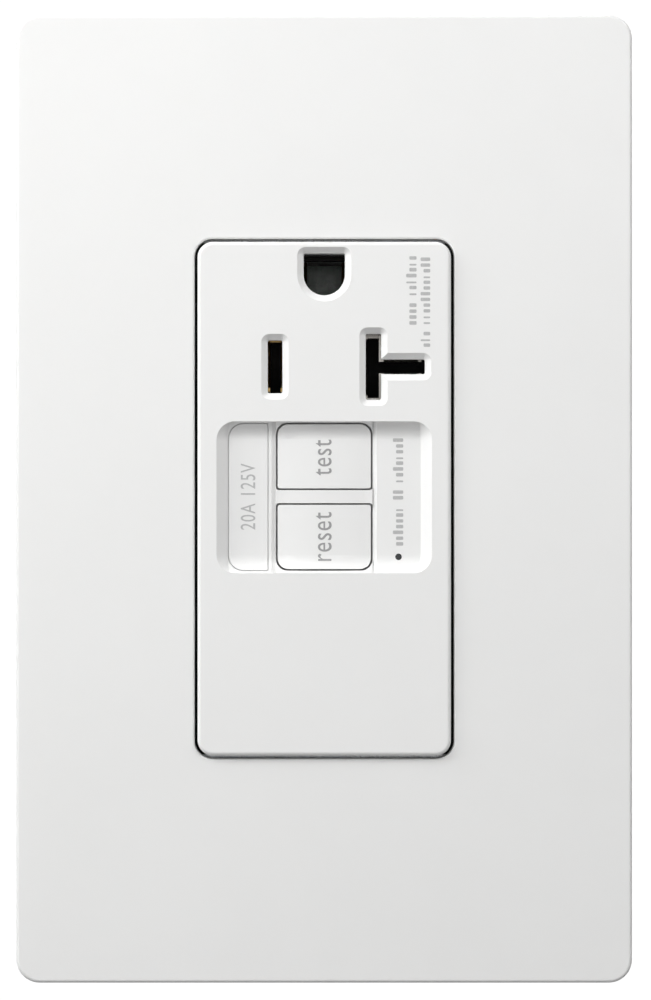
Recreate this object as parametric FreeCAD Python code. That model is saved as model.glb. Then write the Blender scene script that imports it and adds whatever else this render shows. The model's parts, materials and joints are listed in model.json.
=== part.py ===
"""GFCI duplex-height receptacle, 20 A, with its snap-on wall plate.

Frame: X to the right, Y back into the wall, Z up. The origin is the middle of the two
mounting screws on the wall plane. Everything is in millimetres.
"""
import math
import os

import FreeCAD
import Part

V = FreeCAD.Vector
os.makedirs("parts", exist_ok=True)

# ---------------------------------------------------------------- driving dimensions
PLATE_W, PLATE_H, PLATE_R = 79.5, 125.0, 3.0      # wall plate
PLATE_FRONT, PLATE_T, SKIRT_T = -6.6, 2.0, 1.8
OPEN_W, OPEN_H, OPEN_R = 33.5, 67.1, 2.3          # decorator opening
SUB_W, SUB_H = 71.0, 116.0                        # sub-plate behind the cover
SUB_FRONT, SUB_BACK = -3.3, -1.5

FACE_W, FACE_H, FACE_R = 32.7, 66.3, 2.0          # device face
FACE_FRONT = -7.4
FACE_WALL_BACK = -5.2                             # inside of the face wall
SEAM_FRONT = 0.4                                  # face cover meets middle housing
SEAM_BACK = 7.0                                   # middle housing meets back body
BODY_W, BODY_H, BODY_BACK = 42.8, 67.0, 26.0
WALL = 1.6

BLADE_X = 6.35                                    # half of the 0.500 in blade spacing
BLADE_Z = 17.04
GROUND_Z = 28.93                                  # 11.89 above the blades
HOT_SLOT = (1.90, 6.84)
NEUTRAL_SLOT = (2.00, 8.52)
ARM_H, ARM_END = 1.91, 12.99                      # sideways arm of the T slot
GROUND_R, GROUND_TOP = 2.665, 31.67
BEVEL_W, BEVEL_D = 0.82, 0.70                     # bevelled entry round each opening
SLOT_R = 0.25
MARGIN = 0.02                                     # cutters start this far in front of the face

PANEL_X = 13.9                                    # recessed control panel
PANEL_Z = (-9.6, 10.0)
PANEL_R = 2.4
PANEL_DEEP = 1.3
PANEL_SLOPE = 1.45
PANEL_ARC = 2.68                                  # radius of the scooped ends
PANEL_RUN = 2.3
BUTTON_X = 6.02
TEST_Z = (1.35, 9.60)
RESET_Z = (-9.06, -0.78)
BUTTON_GAP = 0.22
COLUMN_X = BUTTON_X + BUTTON_GAP                  # side of the button openings
CROWN_MID, CROWN_EDGE = -6.35, -6.00              # crowned skin of buttons and the bar between
VALLEY_X, VALLEY_D = 6.85, 0.30                   # sloping valley each side of the buttons
LIGHT_X, LIGHT_Z = 9.6, -7.5

STRAP_T = 1.5
DEVICE_SCREW_Z = 41.67                            # 3.281 in between mounting screws
COVER_SCREW_Z = 48.42                             # 3.812 in between plate screws
SCREW_R, SCREW_NECK = 1.75, 1.50                  # number 6-32
HOUSING_SCREW = (12.2, 28.5)

BUS_Y = (7.6, 8.2)
TERM_Z, TERM_Y = 14.0, 14.5                       # terminal screws in the side bays
BAY_Z = (8.0, 20.0)
BAY_WALL = (15.2, 16.4)
TERM_PLATE = (16.4, 17.6)
WIRE_GAP = 2.4
WIRE_HOLE_X, WIRE_HOLE_R = 18.8, 1.35
WIRE_HOLE_Z = (10.7, 17.3)

COIL_Z, COIL_R = 15.6, 10.2
BOARD_Y = (21.0, 22.6)
RESET_PIN_Z = -4.9
SOLENOID_Y = 15.2


# ---------------------------------------------------------------- helpers
def box(x0, x1, y0, y1, z0, z1):
    return Part.makeBox(abs(x1 - x0), abs(y1 - y0), abs(z1 - z0),
                        V(min(x0, x1), min(y0, y1), min(z0, z1)))


def rod_y(x, z, r, y0, y1):
    return Part.makeCylinder(r, y1 - y0, V(x, y0, z), V(0, 1, 0))


def rod_z(x, y, r, z0, z1):
    return Part.makeCylinder(r, z1 - z0, V(x, y, z0), V(0, 0, 1))


def rod_x(y, z, r, x0, x1):
    a, b = min(x0, x1), max(x0, x1)
    return Part.makeCylinder(r, b - a, V(a, y, z), V(1, 0, 0))


def cone_y(x, z, r0, r1, y0, y1):
    return Part.makeCone(r0, r1, y1 - y0, V(x, y0, z), V(0, 1, 0))


def cone_x(y, z, r0, r1, x0, x1):
    """A cone from x0 (radius r0) to x1 (radius r1), either way along X."""
    d = 1 if x1 > x0 else -1
    return Part.makeCone(r0, r1, abs(x1 - x0), V(x0, y, z), V(d, 0, 0))


def outline(points, radii, y):
    """A closed wire at depth y through (x, z) points, each corner rounded by its radius."""
    n = len(points)
    if not isinstance(radii, (list, tuple)):
        radii = [radii] * n
    pts = [V(p[0], y, p[1]) for p in points]
    ends = []
    for i in range(n):
        a, b, c = pts[i - 1], pts[i], pts[(i + 1) % n]
        r = radii[i]
        if r <= 0:
            ends.append((b, None, b))
            continue
        u, w = (a - b).normalize(), (c - b).normalize()
        half = u.getAngle(w) / 2
        t = r / math.tan(half)
        mid_dir = (u + w).normalize()
        centre = b + mid_dir * (r / math.sin(half))
        ends.append((b + u * t, centre - mid_dir * r, b + w * t))
    edges = []
    for i in range(n):
        s, m, e = ends[i]
        if m is not None:
            edges.append(Part.Arc(s, m, e).toShape())
        nxt = ends[(i + 1) % n][0]
        if e.distanceToPoint(nxt) > 1e-6:
            edges.append(Part.LineSegment(e, nxt).toShape())
    return Part.Wire(edges)


def rect(x0, x1, z0, z1):
    return [(x0, z0), (x1, z0), (x1, z1), (x0, z1)]


def prism(points, radii, y0, y1):
    face = Part.Face(outline(points, radii, y0))
    return face.extrude(V(0, y1 - y0, 0))


def slab(w, h, r, y0, y1):
    return prism(rect(-w / 2, w / 2, -h / 2, h / 2), r, y0, y1)


def flare(points0, r0, y0, points1, r1, y1):
    """A tapered block between two outlines with the same corners."""
    return Part.makeLoft([outline(points0, r0, y0), outline(points1, r1, y1)], True, True)


def union(shapes):
    shapes = list(shapes)
    out = shapes[0]
    if len(shapes) > 1:
        out = out.fuse(shapes[1:])
    return out.removeSplitter()


def cut(shape, *tools):
    return shape.cut(list(tools)).removeSplitter()


def polygon_face(points):
    """A flat face through 3-D points."""
    pts = [V(*p) for p in points]
    return Part.Face(Part.makePolygon(pts + [pts[0]]))


def round_path(points, r):
    """An open wire through 3-D points, each inside corner rounded by r."""
    pts = [V(*p) for p in points]
    edges, last = [], pts[0]
    for i in range(1, len(pts) - 1):
        a, b, c = pts[i - 1], pts[i], pts[i + 1]
        u, w = (a - b).normalize(), (c - b).normalize()
        half = u.getAngle(w) / 2
        t = r / math.tan(half)
        mid_dir = (u + w).normalize()
        centre = b + mid_dir * (r / math.sin(half))
        s, e = b + u * t, b + w * t
        edges.append(Part.LineSegment(last, s).toShape())
        edges.append(Part.Arc(s, centre - mid_dir * r, e).toShape())
        last = e
    edges.append(Part.LineSegment(last, pts[-1]).toShape())
    return Part.Wire(edges)


def wire_along(points, bend, r):
    """A round conductor of radius r along a rounded path."""
    path = round_path(points, bend)
    start, nxt = V(*points[0]), V(*points[1])
    ring = Part.Wire(Part.makeCircle(r, start, nxt - start))
    return path.makePipeShell([ring], True, False)


def spring(axis, centre, mean_r, wire_r, turns, length):
    """A coiled compression spring from centre along +Y or +Z."""
    pitch = length / turns
    points = []
    for i in range(int(turns * 24) + 1):
        a = 2 * math.pi * i / 24
        points.append(V(mean_r * math.cos(a), mean_r * math.sin(a), pitch * i / 24))
    coil = Part.BSplineCurve()
    coil.interpolate(points)
    ring = Part.Wire(Part.makeCircle(wire_r, V(mean_r, 0, 0), V(0, 1, pitch / (2 * math.pi * mean_r))))
    solid = Part.Wire(coil.toShape()).makePipeShell([ring], True, True)
    if axis == "y":
        solid.rotate(V(0, 0, 0), V(1, 0, 0), -90)
    solid.translate(V(*centre))
    return solid


def panel_back(front, deep=6.0):
    """What lies behind the control panel's skin: straight in the middle, scooped at both ends.

    front is three (x, y) points of the skin's section: left, middle and right.
    """
    (xa, ya), (xm, ym), (xb, yb) = front
    z0, z1 = PANEL_Z[0] + PANEL_RUN, PANEL_Z[1] - PANEL_RUN
    flat = abs(ya - ym) < 1e-9 and abs(yb - ym) < 1e-9

    def section(z):
        a, m, b = V(xa, ya, z), V(xm, ym, z), V(xb, yb, z)
        first = Part.LineSegment(a, b) if flat else Part.Arc(a, m, b)
        back = ym + deep
        edges = [first.toShape(),
                 Part.LineSegment(b, V(xb, back, z)).toShape(),
                 Part.LineSegment(V(xb, back, z), V(xa, back, z)).toShape(),
                 Part.LineSegment(V(xa, back, z), a).toShape()]
        return Part.Face(Part.Wire(edges))

    parts = [section(z0).extrude(V(0, 0, z1 - z0))]
    hub = FACE_FRONT + PANEL_DEEP - PANEL_ARC
    parts.append(section(z1).revolve(V(0, hub, z1), V(1, 0, 0), 75))
    parts.append(section(z0).revolve(V(0, hub, z0), V(1, 0, 0), -75))
    return union(parts)


FLOOR_Y = FACE_FRONT + PANEL_DEEP
FLAT_SKIN = ((-16, FLOOR_Y), (0, FLOOR_Y), (16, FLOOR_Y))
CROWN_SKIN = ((-COLUMN_X, CROWN_EDGE), (0, CROWN_MID), (COLUMN_X, CROWN_EDGE))


# ---------------------------------------------------------------- wall plate
def make_cover_plate():
    body = slab(PLATE_W, PLATE_H, PLATE_R, PLATE_FRONT, 0)
    rim = [e for e in body.Edges if abs(e.BoundBox.YMax - PLATE_FRONT) < 1e-6]
    body = body.makeFillet(0.42, rim)
    inner_w, inner_h = PLATE_W - 2 * SKIRT_T, PLATE_H - 2 * SKIRT_T
    hollow = slab(inner_w, inner_h, PLATE_R - 1.2, PLATE_FRONT + PLATE_T, 1)
    body = cut(body, hollow)
    back = PLATE_FRONT + PLATE_T
    rib = slab(OPEN_W + 2.6, OPEN_H + 2.6, OPEN_R + 1.3, back - 0.2, back + 1.1)
    body = union([body, rib])
    body = cut(body, slab(OPEN_W, OPEN_H, OPEN_R, PLATE_FRONT - 1, 1))
    lip = [e for e in body.Edges
           if abs(e.BoundBox.YMax - PLATE_FRONT) < 1e-6 and abs(e.BoundBox.YMin - PLATE_FRONT) < 1e-6
           and e.BoundBox.XMax < 18 and e.BoundBox.XMin > -18
           and e.BoundBox.ZMax < 35 and e.BoundBox.ZMin > -35]
    body = body.makeFillet(0.3, lip)
    # tongues that grip the edges of the sub-plate, each with a stiffening rib to the skirt
    extra = []
    edge_x, edge_z = SUB_W / 2 + 0.06, SUB_H / 2 + 0.06
    for s in (-1, 1):
        for z in (-34.0, 34.0):
            extra.append(box(s * edge_x, s * (edge_x + 1.1), back - 0.2, -0.6, z - 5, z + 5))
            extra.append(box(s * (edge_x + 0.9), s * (inner_w / 2 + 0.1), back - 0.2, -1.6, z - 0.6, z + 0.6))
        for x in (-17.0, 17.0):
            extra.append(box(x - 5, x + 5, back - 0.2, -0.6, s * edge_z, s * (edge_z + 1.1)))
            extra.append(box(x - 0.6, x + 0.6, back - 0.2, -1.6, s * (edge_z + 0.9),
                             s * (inner_h / 2 + 0.1)))
    # long stiffening ribs across the inside
    for z in (-45.5, 45.5):
        for s in (-1, 1):
            extra.append(box(s * 12, s * 33, back - 0.2, back + 1.1, z - 0.5, z + 0.5))
    return union([body] + extra)


def make_sub_plate():
    body = slab(SUB_W, SUB_H, 3.0, SUB_FRONT, 0)
    body = cut(body, slab(SUB_W - 2.4, SUB_H - 2.4, 1.8, SUB_BACK, 1))
    # ribs behind, clear of the strap's ears
    ribs = []
    for s in (-1, 1):
        for x in (22.0, 28.5):
            ribs.append(box(s * (x - 0.5), s * (x + 0.5), SUB_BACK - 0.2, -0.3, -56.9, 56.9))
    body = union([body] + ribs)
    tools = [slab(34.2, 68.0, 2.5, SUB_FRONT - 1, 1)]
    for s in (-1, 1):
        z = s * COVER_SCREW_Z
        tools.append(rod_y(0, z, 1.95, SUB_FRONT - 1, 1))
        tools.append(cone_y(0, z, 3.30, 1.95, SUB_FRONT - 1e-3, SUB_FRONT + 1.45))
        tools.append(rod_y(0, s * DEVICE_SCREW_Z, 3.35, SUB_FRONT - 1, 1))
        # level marks for lining the plate up
        tools.append(box(-12.0, -6.5, SUB_FRONT - 1, SUB_FRONT + 0.4, z - 0.4, z + 0.4))
        tools.append(box(6.5, 12.0, SUB_FRONT - 1, SUB_FRONT + 0.4, z - 0.4, z + 0.4))
    return cut(body, *tools)


def make_sub_plate_screws():
    out = []
    for s in (-1, 1):
        z = s * COVER_SCREW_Z
        head = cone_y(0, z, 3.20, SCREW_R, SUB_FRONT + 0.06, SUB_FRONT + 1.50)
        shank = rod_y(0, z, SCREW_R, SUB_FRONT + 1.4, 3.4)
        tip = cone_y(0, z, SCREW_R, 1.2, 3.4, 4.0)
        screw = union([head, shank, tip])
        out.append(cut(screw, box(-4, 4, SUB_FRONT - 1, SUB_FRONT + 0.85, z - 0.45, z + 0.45)))
    return Part.makeCompound(out)


# ---------------------------------------------------------------- strap and its parts
def make_strap():
    # one quarter of the outline, from the side up to the corner of the ear: x, z, radius
    quarter = [(14.4, 25.4, 1.0), (9.4, 25.4, 0.6), (9.4, 33.25, 0.1), (16.8, 33.25, 1.0),
               (16.8, 43.4, 0.6), (20.5, 43.4, 0.8), (20.5, 53.0, 1.6)]
    corners = quarter + [(-x, z, r) for x, z, r in reversed(quarter)]
    corners += [(-x, -z, r) for x, z, r in quarter] + [(x, -z, r) for x, z, r in reversed(quarter)]
    body = prism([(x, z) for x, z, r in corners], [r for x, z, r in corners], -STRAP_T, 0)
    tools = [
        # openings for the two contact towers, either side of a centre spine
        box(-10.4, -2.6, -3, 1, 11.6, 23.4),
        box(2.1, 16, -3, 1, 11.4, 23.4),
        # opening for the two buttons and the test stem
        prism(rect(-6.6, 6.6, -9.9, 8.4), 1.0, -3, 1),
        # ground pin
        prism(rect(-3.1, 3.1, GROUND_Z - 2.75, GROUND_Z + 3.3), 1.0, -3, 1),
        # light guide
        rod_y(LIGHT_X, LIGHT_Z, 1.6, -3, 1),
        # lightening slot in the lower plate
        prism(rect(-6.0, 6.0, -22.0, -14.0), 1.5, -3, 1),
    ]
    for s in (-1, 1):
        z = s * DEVICE_SCREW_Z
        tools.append(prism(rect(-4.0, 4.0, z - 2.1, z + 2.1), 2.09, -3, 1))
        tools.append(rod_y(0, s * COVER_SCREW_Z, SCREW_R + 0.05, -3, 1))
        for t in (-1, 1):
            # score slots that let the ears snap off
            tools.append(box(t * 16.9, t * 17.5, -3, 1, s * 44.6, s * 47.2))
            tools.append(box(t * 16.9, t * 17.5, -3, 1, s * 48.6, s * 51.6))
    body = cut(body, *tools)
    # ground tab folded back from the lower left ear
    tab = prism(rect(-17.6, -16.1, -45.0, -35.4), 0.0, -STRAP_T, 11.0)
    hole = rod_x(6.0, -40.2, SCREW_R + 0.05, -19, -14)
    fold = [e for e in tab.Edges if abs(e.BoundBox.YMin - 11) < 1e-6 and abs(e.BoundBox.XLength - 1.5) < 1e-6]
    tab = tab.makeFillet(1.6, fold)
    return cut(union([body, tab]), hole)


def make_mounting_screws():
    out = []
    for s in (-1, 1):
        z = s * DEVICE_SCREW_Z
        head = rod_y(0, z, 3.15, -3.3, -STRAP_T - 0.02)
        top = [e for e in head.Edges if abs(e.BoundBox.YMax + 3.3) < 1e-6]
        head = head.makeFillet(0.9, top)
        neck = rod_y(0, z, SCREW_NECK, -STRAP_T - 0.1, 0.48)
        shank = rod_y(0, z, SCREW_R, 0.48, 21.0)
        tip = cone_y(0, z, SCREW_R, 1.1, 21.0, 22.0)
        screw = union([head, neck, shank, tip])
        out.append(cut(screw, box(-4, 4, -4, -2.45, z - 0.45, z + 0.45),
                       box(-0.45, 0.45, -4, -2.45, z - 1.9, z + 1.9)))
    return Part.makeCompound(out)


def make_retainers():
    out = []
    for s in (-1, 1):
        z = s * DEVICE_SCREW_Z
        plate = prism(rect(-3.7, 3.7, z - 3.7, z + 3.7), 0.8, 0.02, 0.44)
        out.append(cut(plate, rod_y(0, z, SCREW_NECK + 0.02, -1, 1)))
    return Part.makeCompound(out)


def make_self_ground_clip():
    z = DEVICE_SCREW_Z
    loop = prism(rect(-5.6, 5.6, z - 6.6, z + 4.2), 0.8, 0.02, 0.42)
    loop = cut(loop, prism(rect(-4.1, 4.1, z - 4.1, z + 9), 0.3, -1, 1))
    arms = [box(s * 4.9, s * 5.3, 0.02, 3.2, z - 2.6, z + 2.6) for s in (-1, 1)]
    rivet = rod_y(0, z - 5.4, 0.9, 0.4, 0.9)
    return union([loop, rivet] + arms)


def make_ground_contact():
    base = prism(rect(-5.6, 5.6, 23.8, 31.5), 0.8, 0.0, 0.8)
    base = cut(base, box(-2.9, 2.9, -1, 2, 26.2, 33))
    parts = [base]
    for s in (-1, 1):
        leaf = [(2.9, 0.0), (3.6, 0.0), (2.9, 3.4), (2.9, 11.5), (3.9, 13.0), (3.3, 13.0),
                (2.3, 11.5), (2.3, 3.2)]
        face = polygon_face([(s * x, y, 26.9) for x, y in leaf])
        parts.append(face.extrude(V(0, 0, 4.0)))
    return cut(union(parts), rod_y(4.3, 25.2, 0.72, -1, 2), rod_y(-4.3, 25.2, 0.72, -1, 2))


def make_ground_rivets():
    out = []
    for s in (-1, 1):
        out.append(union([rod_y(s * 4.3, 25.2, 0.70, 0.0, 0.8), rod_y(s * 4.3, 25.2, 1.35, 0.8, 1.25)]))
    return Part.makeCompound(out)


def make_ground_screw():
    y, z = 6.0, -40.2
    hexagon = [(y + 3.9 * math.cos(math.radians(a)), z + 3.9 * math.sin(math.radians(a)))
               for a in range(0, 360, 60)]
    face = polygon_face([(-17.62, p[0], p[1]) for p in hexagon])
    head = face.extrude(V(-2.6, 0, 0))
    head = head.common(cone_x(y, z, 4.3, 3.0, -17.0, -21.0))
    collar = rod_x(y, z, 4.3, -17.62, -18.2)
    shank = rod_x(y, z, SCREW_R, -17.7, -12.2)
    tip = cone_x(y, z, SCREW_R, 1.1, -12.2, -11.4)
    slot = box(-21, -19.1, y - 4.5, y + 4.5, z - 0.45, z + 0.45)
    return cut(union([head, collar, shank, tip]), slot)


# ---------------------------------------------------------------- housing
def slot_tool(x0, x1, z0, z1):
    """A blade opening with its bevelled entry, right through the face wall."""
    deep = FACE_FRONT + BEVEL_D
    inner = rect(x0, x1, z0, z1)
    b = BEVEL_W * (1 + MARGIN / BEVEL_D)
    mouth = rect(x0 - b, x1 + b, z0 - b, z1 + b)
    return union([flare(mouth, SLOT_R + b, FACE_FRONT - MARGIN, inner, SLOT_R, deep),
                  prism(inner, SLOT_R, deep - 0.01, 1.0)])


def ground_outline(grow, y):
    r, z, top = GROUND_R + grow, GROUND_Z, GROUND_TOP + grow
    c = SLOT_R + grow
    a, b = V(-r, y, z), V(r, y, z)
    k = c * (1 - math.sqrt(0.5))
    edges = [
        Part.Arc(a, V(0, y, z - r), b).toShape(),
        Part.LineSegment(b, V(r, y, top - c)).toShape(),
        Part.Arc(V(r, y, top - c), V(r - k, y, top - k), V(r - c, y, top)).toShape(),
        Part.LineSegment(V(r - c, y, top), V(c - r, y, top)).toShape(),
        Part.Arc(V(c - r, y, top), V(k - r, y, top - k), V(-r, y, top - c)).toShape(),
        Part.LineSegment(V(-r, y, top - c), a).toShape(),
    ]
    return Part.Wire(edges)


def ground_tool():
    deep = FACE_FRONT + BEVEL_D
    loft = Part.makeLoft([ground_outline(BEVEL_W * (1 + MARGIN / BEVEL_D), FACE_FRONT - MARGIN),
                          ground_outline(0, deep)], True, True)
    straight = Part.Face(ground_outline(0, deep - 0.01)).extrude(V(0, 8, 0))
    return union([loft, straight])


def button_points(z, grow=0.0):
    return rect(-BUTTON_X - grow, BUTTON_X + grow, z[0] - grow, z[1] + grow)


def button_radii(which, grow=0.0):
    outer, inner = 1.4 + grow * 0.5, 0.3 + grow * 0.5
    return [inner, inner, outer, outer] if which == "test" else [outer, outer, inner, inner]


def label_points(grow=0.0):
    return rect(-12.36 - grow, -7.30 + grow, -9.24 - grow, 9.68 + grow)


LABEL_R = [2.0, 0.2, 0.2, 2.0]
LABEL_BACK = FLOOR_Y + 0.75


def make_face_cover():
    block = slab(FACE_W, FACE_H, FACE_R, FACE_FRONT, SEAM_FRONT)
    rim = [e for e in block.Edges if abs(e.BoundBox.YMax - FACE_FRONT) < 1e-6]
    block = block.makeFillet(0.5, rim)
    hollow = prism(rect(-14.75, 14.75, -31.55, 31.55), 1.0, FACE_WALL_BACK, 1)
    pad = prism(rect(-14.85, 14.85, -11.2, 11.6), 0.5, FACE_WALL_BACK - 0.2, -4.2)
    parts = [cut(block, hollow), pad]
    for sx in (-1, 1):
        for sz in (-1, 1):
            x, z = sx * HOUSING_SCREW[0], sz * HOUSING_SCREW[1]
            parts.append(rod_y(x, z, 2.5, FACE_WALL_BACK - 0.2, 0.3))
    body = union(parts)

    # recessed control panel with scooped ends
    k = PANEL_SLOPE / PANEL_DEEP
    mouth = rect(-PANEL_X - 0.5 * k, PANEL_X + 0.5 * k, PANEL_Z[0], PANEL_Z[1])
    foot = rect(-PANEL_X + 1.8 * k, PANEL_X - 1.8 * k, PANEL_Z[0], PANEL_Z[1])
    funnel = flare(mouth, PANEL_R, FACE_FRONT - 0.5, foot, PANEL_R, FACE_FRONT + 1.8)
    recess = funnel.cut(panel_back(FLAT_SKIN))
    # sloping valley each side of the buttons
    grooves = []
    for s in (-1, 1):
        z0, z1 = PANEL_Z[0] + PANEL_RUN, PANEL_Z[1] - PANEL_RUN
        hub = FLOOR_Y - PANEL_ARC

        def section(z):
            return polygon_face([(s * VALLEY_X, FLOOR_Y - MARGIN, z),
                                 (s * COLUMN_X, FLOOR_Y + VALLEY_D, z),
                                 (s * COLUMN_X, FLOOR_Y - MARGIN, z)])

        grooves.append(section(z0).extrude(V(0, 0, z1 - z0)))
        grooves.append(section(z1).revolve(V(0, hub, z1), V(1, 0, 0), 57))
        grooves.append(section(z0).revolve(V(0, hub, z0), V(1, 0, 0), -57))
    body = cut(body, recess, *grooves)
    # crowned bar between the buttons, trimmed by their openings
    bar = panel_back(CROWN_SKIN).common(box(-COLUMN_X, COLUMN_X, -9, -5.0, RESET_Z[1] - 0.4, TEST_Z[0] + 0.4))
    body = union([body, bar])

    tools = [slot_tool(-BLADE_X - HOT_SLOT[0] / 2, -BLADE_X + HOT_SLOT[0] / 2,
                       BLADE_Z - HOT_SLOT[1] / 2, BLADE_Z + HOT_SLOT[1] / 2),
             slot_tool(BLADE_X - NEUTRAL_SLOT[0] / 2, BLADE_X + NEUTRAL_SLOT[0] / 2,
                       BLADE_Z - NEUTRAL_SLOT[1] / 2, BLADE_Z + NEUTRAL_SLOT[1] / 2),
             slot_tool(BLADE_X - 0.5, ARM_END, BLADE_Z - ARM_H / 2, BLADE_Z + ARM_H / 2),
             ground_tool(),
             prism(button_points(TEST_Z, BUTTON_GAP), button_radii("test", BUTTON_GAP), -9, 1),
             prism(button_points(RESET_Z, BUTTON_GAP), button_radii("reset", BUTTON_GAP), -9, 1),
             prism(label_points(0.08), [r + 0.05 for r in LABEL_R], -9, LABEL_BACK + 0.02),
             rod_y(LIGHT_X, LIGHT_Z, 0.43, -9, 1),
             rod_y(LIGHT_X, LIGHT_Z, 1.25, -4.9, 1)]
    for sx in (-1, 1):
        for sz in (-1, 1):
            tools.append(rod_y(sx * HOUSING_SCREW[0], sz * HOUSING_SCREW[1], 1.22, -4.0, 1))
    for sz in (-1, 1):
        # the strap leaves through these notches, which are open at the back
        tools.append(box(-9.6, 9.6, -STRAP_T - 0.08, 1, sz * 31.0, sz * 34))
    return cut(body, *tools)


def make_label_insert():
    skin = panel_back(FLAT_SKIN)
    blank = prism(label_points(), LABEL_R, -7.35, LABEL_BACK)
    return blank.common(skin).removeSplitter()


def make_button(which):
    z = TEST_Z if which == "test" else RESET_Z
    stem_z = 5.4 if which == "test" else RESET_PIN_Z
    skin = panel_back(CROWN_SKIN)
    cap = prism(button_points(z), button_radii(which), -7.35, -3.4).common(skin)
    flange_z = (z[0] - 0.15, 10.6) if which == "test" else (-10.4, z[1] + 0.15)
    flange = prism(rect(-7.0, 7.0, *flange_z), 0.4, -4.08, -3.4)
    body = union([cap, flange])
    pocket = prism(rect(-4.9, 4.9, z[0] + 1.2, z[1] - 1.2), 0.6, -5.0, -3.0)
    body = cut(body, pocket)
    if which == "test":
        stem = rod_y(2.0, stem_z, 1.3, -5.1, -0.2)
        tip = Part.makeSphere(0.8, V(2.0, 0.25, stem_z))
        cone = cone_y(2.0, stem_z, 1.3, 0.8, -0.2, 0.25)
        ribs = [box(-4.95, 4.95, -5.05, -3.6, stem_z - 0.4, stem_z + 0.4)]
        return union([body, stem, cone, tip] + ribs)
    boss = rod_y(0, stem_z, 1.5, -5.1, -2.4)
    ribs = [box(s * 2.5, s * 4.95, -5.05, -3.9, stem_z - 0.3, stem_z + 0.3) for s in (-1, 1)]
    return cut(union([body, boss] + ribs), rod_y(0, stem_z, 0.99, -4.9, -2))


def make_reset_pin():
    z = RESET_PIN_Z
    return union([rod_y(0, z, 0.98, -4.88, 8.2), rod_y(0, z, 0.70, 8.1, 11.62),
                  cone_y(0, z, 0.70, 1.20, 11.60, 12.05), rod_y(0, z, 1.20, 12.05, 12.4),
                  cone_y(0, z, 1.20, 0.55, 12.4, 13.1)])


def make_middle_housing():
    body = slab(BODY_W, BODY_H, 1.2, SEAM_FRONT, SEAM_BACK)
    body = cut(body, prism(rect(-19.8, 19.8, -31.9, 31.9), 0.6, 2.0, 8),
               prism(rect(-14.75, 14.75, -31.55, 31.55), 0.6, 0, 3))
    # shallow grooves in the sides where a wire can lie flat
    tools = []
    for s in (-1, 1):
        for z in (-26.0, 26.0):
            tools.append(box(s * 20.9, s * 22, 3.0, 8, z - 3, z + 3))
    return cut(body, *tools)


def make_separator():
    plate = prism(rect(-19.6, 19.6, -31.7, 31.7), 0.8, 5.6, 7.0)
    parts = [plate]
    hot = (-9.9, -2.8, 12.0, 22.3)
    neu = (2.4, 14.2, 11.7, 22.5)
    for x0, x1, z0, z1 in (hot, neu):
        parts.append(box(x0, x1, -5.0, 11.6, z0, z1))
    # support under the bus strips
    parts.append(box(-15.0, -7.2, 6.9, 7.6, 4.4, 8.0))
    parts.append(box(7.2, 15.0, 6.9, 7.6, 4.4, 8.0))
    for s in (-1, 1):
        parts.append(box(s * 7.2, s * 14.4, 6.9, 7.6, -4.2, -0.6))
        # guide rails for the lifter
        parts.append(box(s * 5.3, s * 6.3, 6.9, 14.0, -9.3, -5.8))
        # posts that hold the circuit board back
        parts.append(rod_y(s * 12.9, 22.6, 1.0, 6.9, BOARD_Y[0]))
        parts.append(rod_y(s * 2.6, -30.4, 0.9, 6.9, BOARD_Y[0]))
        for sz in (-1, 1):
            parts.append(rod_y(s * HOUSING_SCREW[0], sz * HOUSING_SCREW[1], 2.5, 0.34, 5.7))
            # rests that hold the strap forward
            parts.append(box(s * 11.2, s * 13.8, 0.04, 5.7, sz * 20.2 - 1.2 if sz < 0 else 7.2,
                             sz * 20.2 + 1.2 if sz < 0 else 9.4))
    body = union(parts)
    tools = [box(hot[0] + 0.9, hot[1] - 0.9, -6, 10.9, hot[2] + 0.7, hot[3] - 0.7),
             box(neu[0] + 0.8, neu[1] - 0.8, -6, 10.9, neu[2] + 0.55, neu[3] - 0.55),
             # where each contact's foot leaves its pocket
             box(-11, -8, 7.0, 8.3, 14.2, 19.9),
             box(13, 15, 7.0, 8.3, 18.2, 20.7),
             # ways through for the reset pin, the light guide and the ground contact
             rod_y(0, RESET_PIN_Z, 1.25, 5, 8),
             rod_y(LIGHT_X, LIGHT_Z, 1.4, 5, 8),
             box(-4.3, 4.3, 5, 8, 26.0, 31.2)]
    for s in (-1, 1):
        for sz in (-1, 1):
            tools.append(rod_y(s * HOUSING_SCREW[0], sz * HOUSING_SCREW[1], 1.5, 0, 8))
    return cut(body, *tools)


def bay_zs():
    return [(BAY_Z[0], BAY_Z[1]), (-BAY_Z[1], -BAY_Z[0])]


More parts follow.
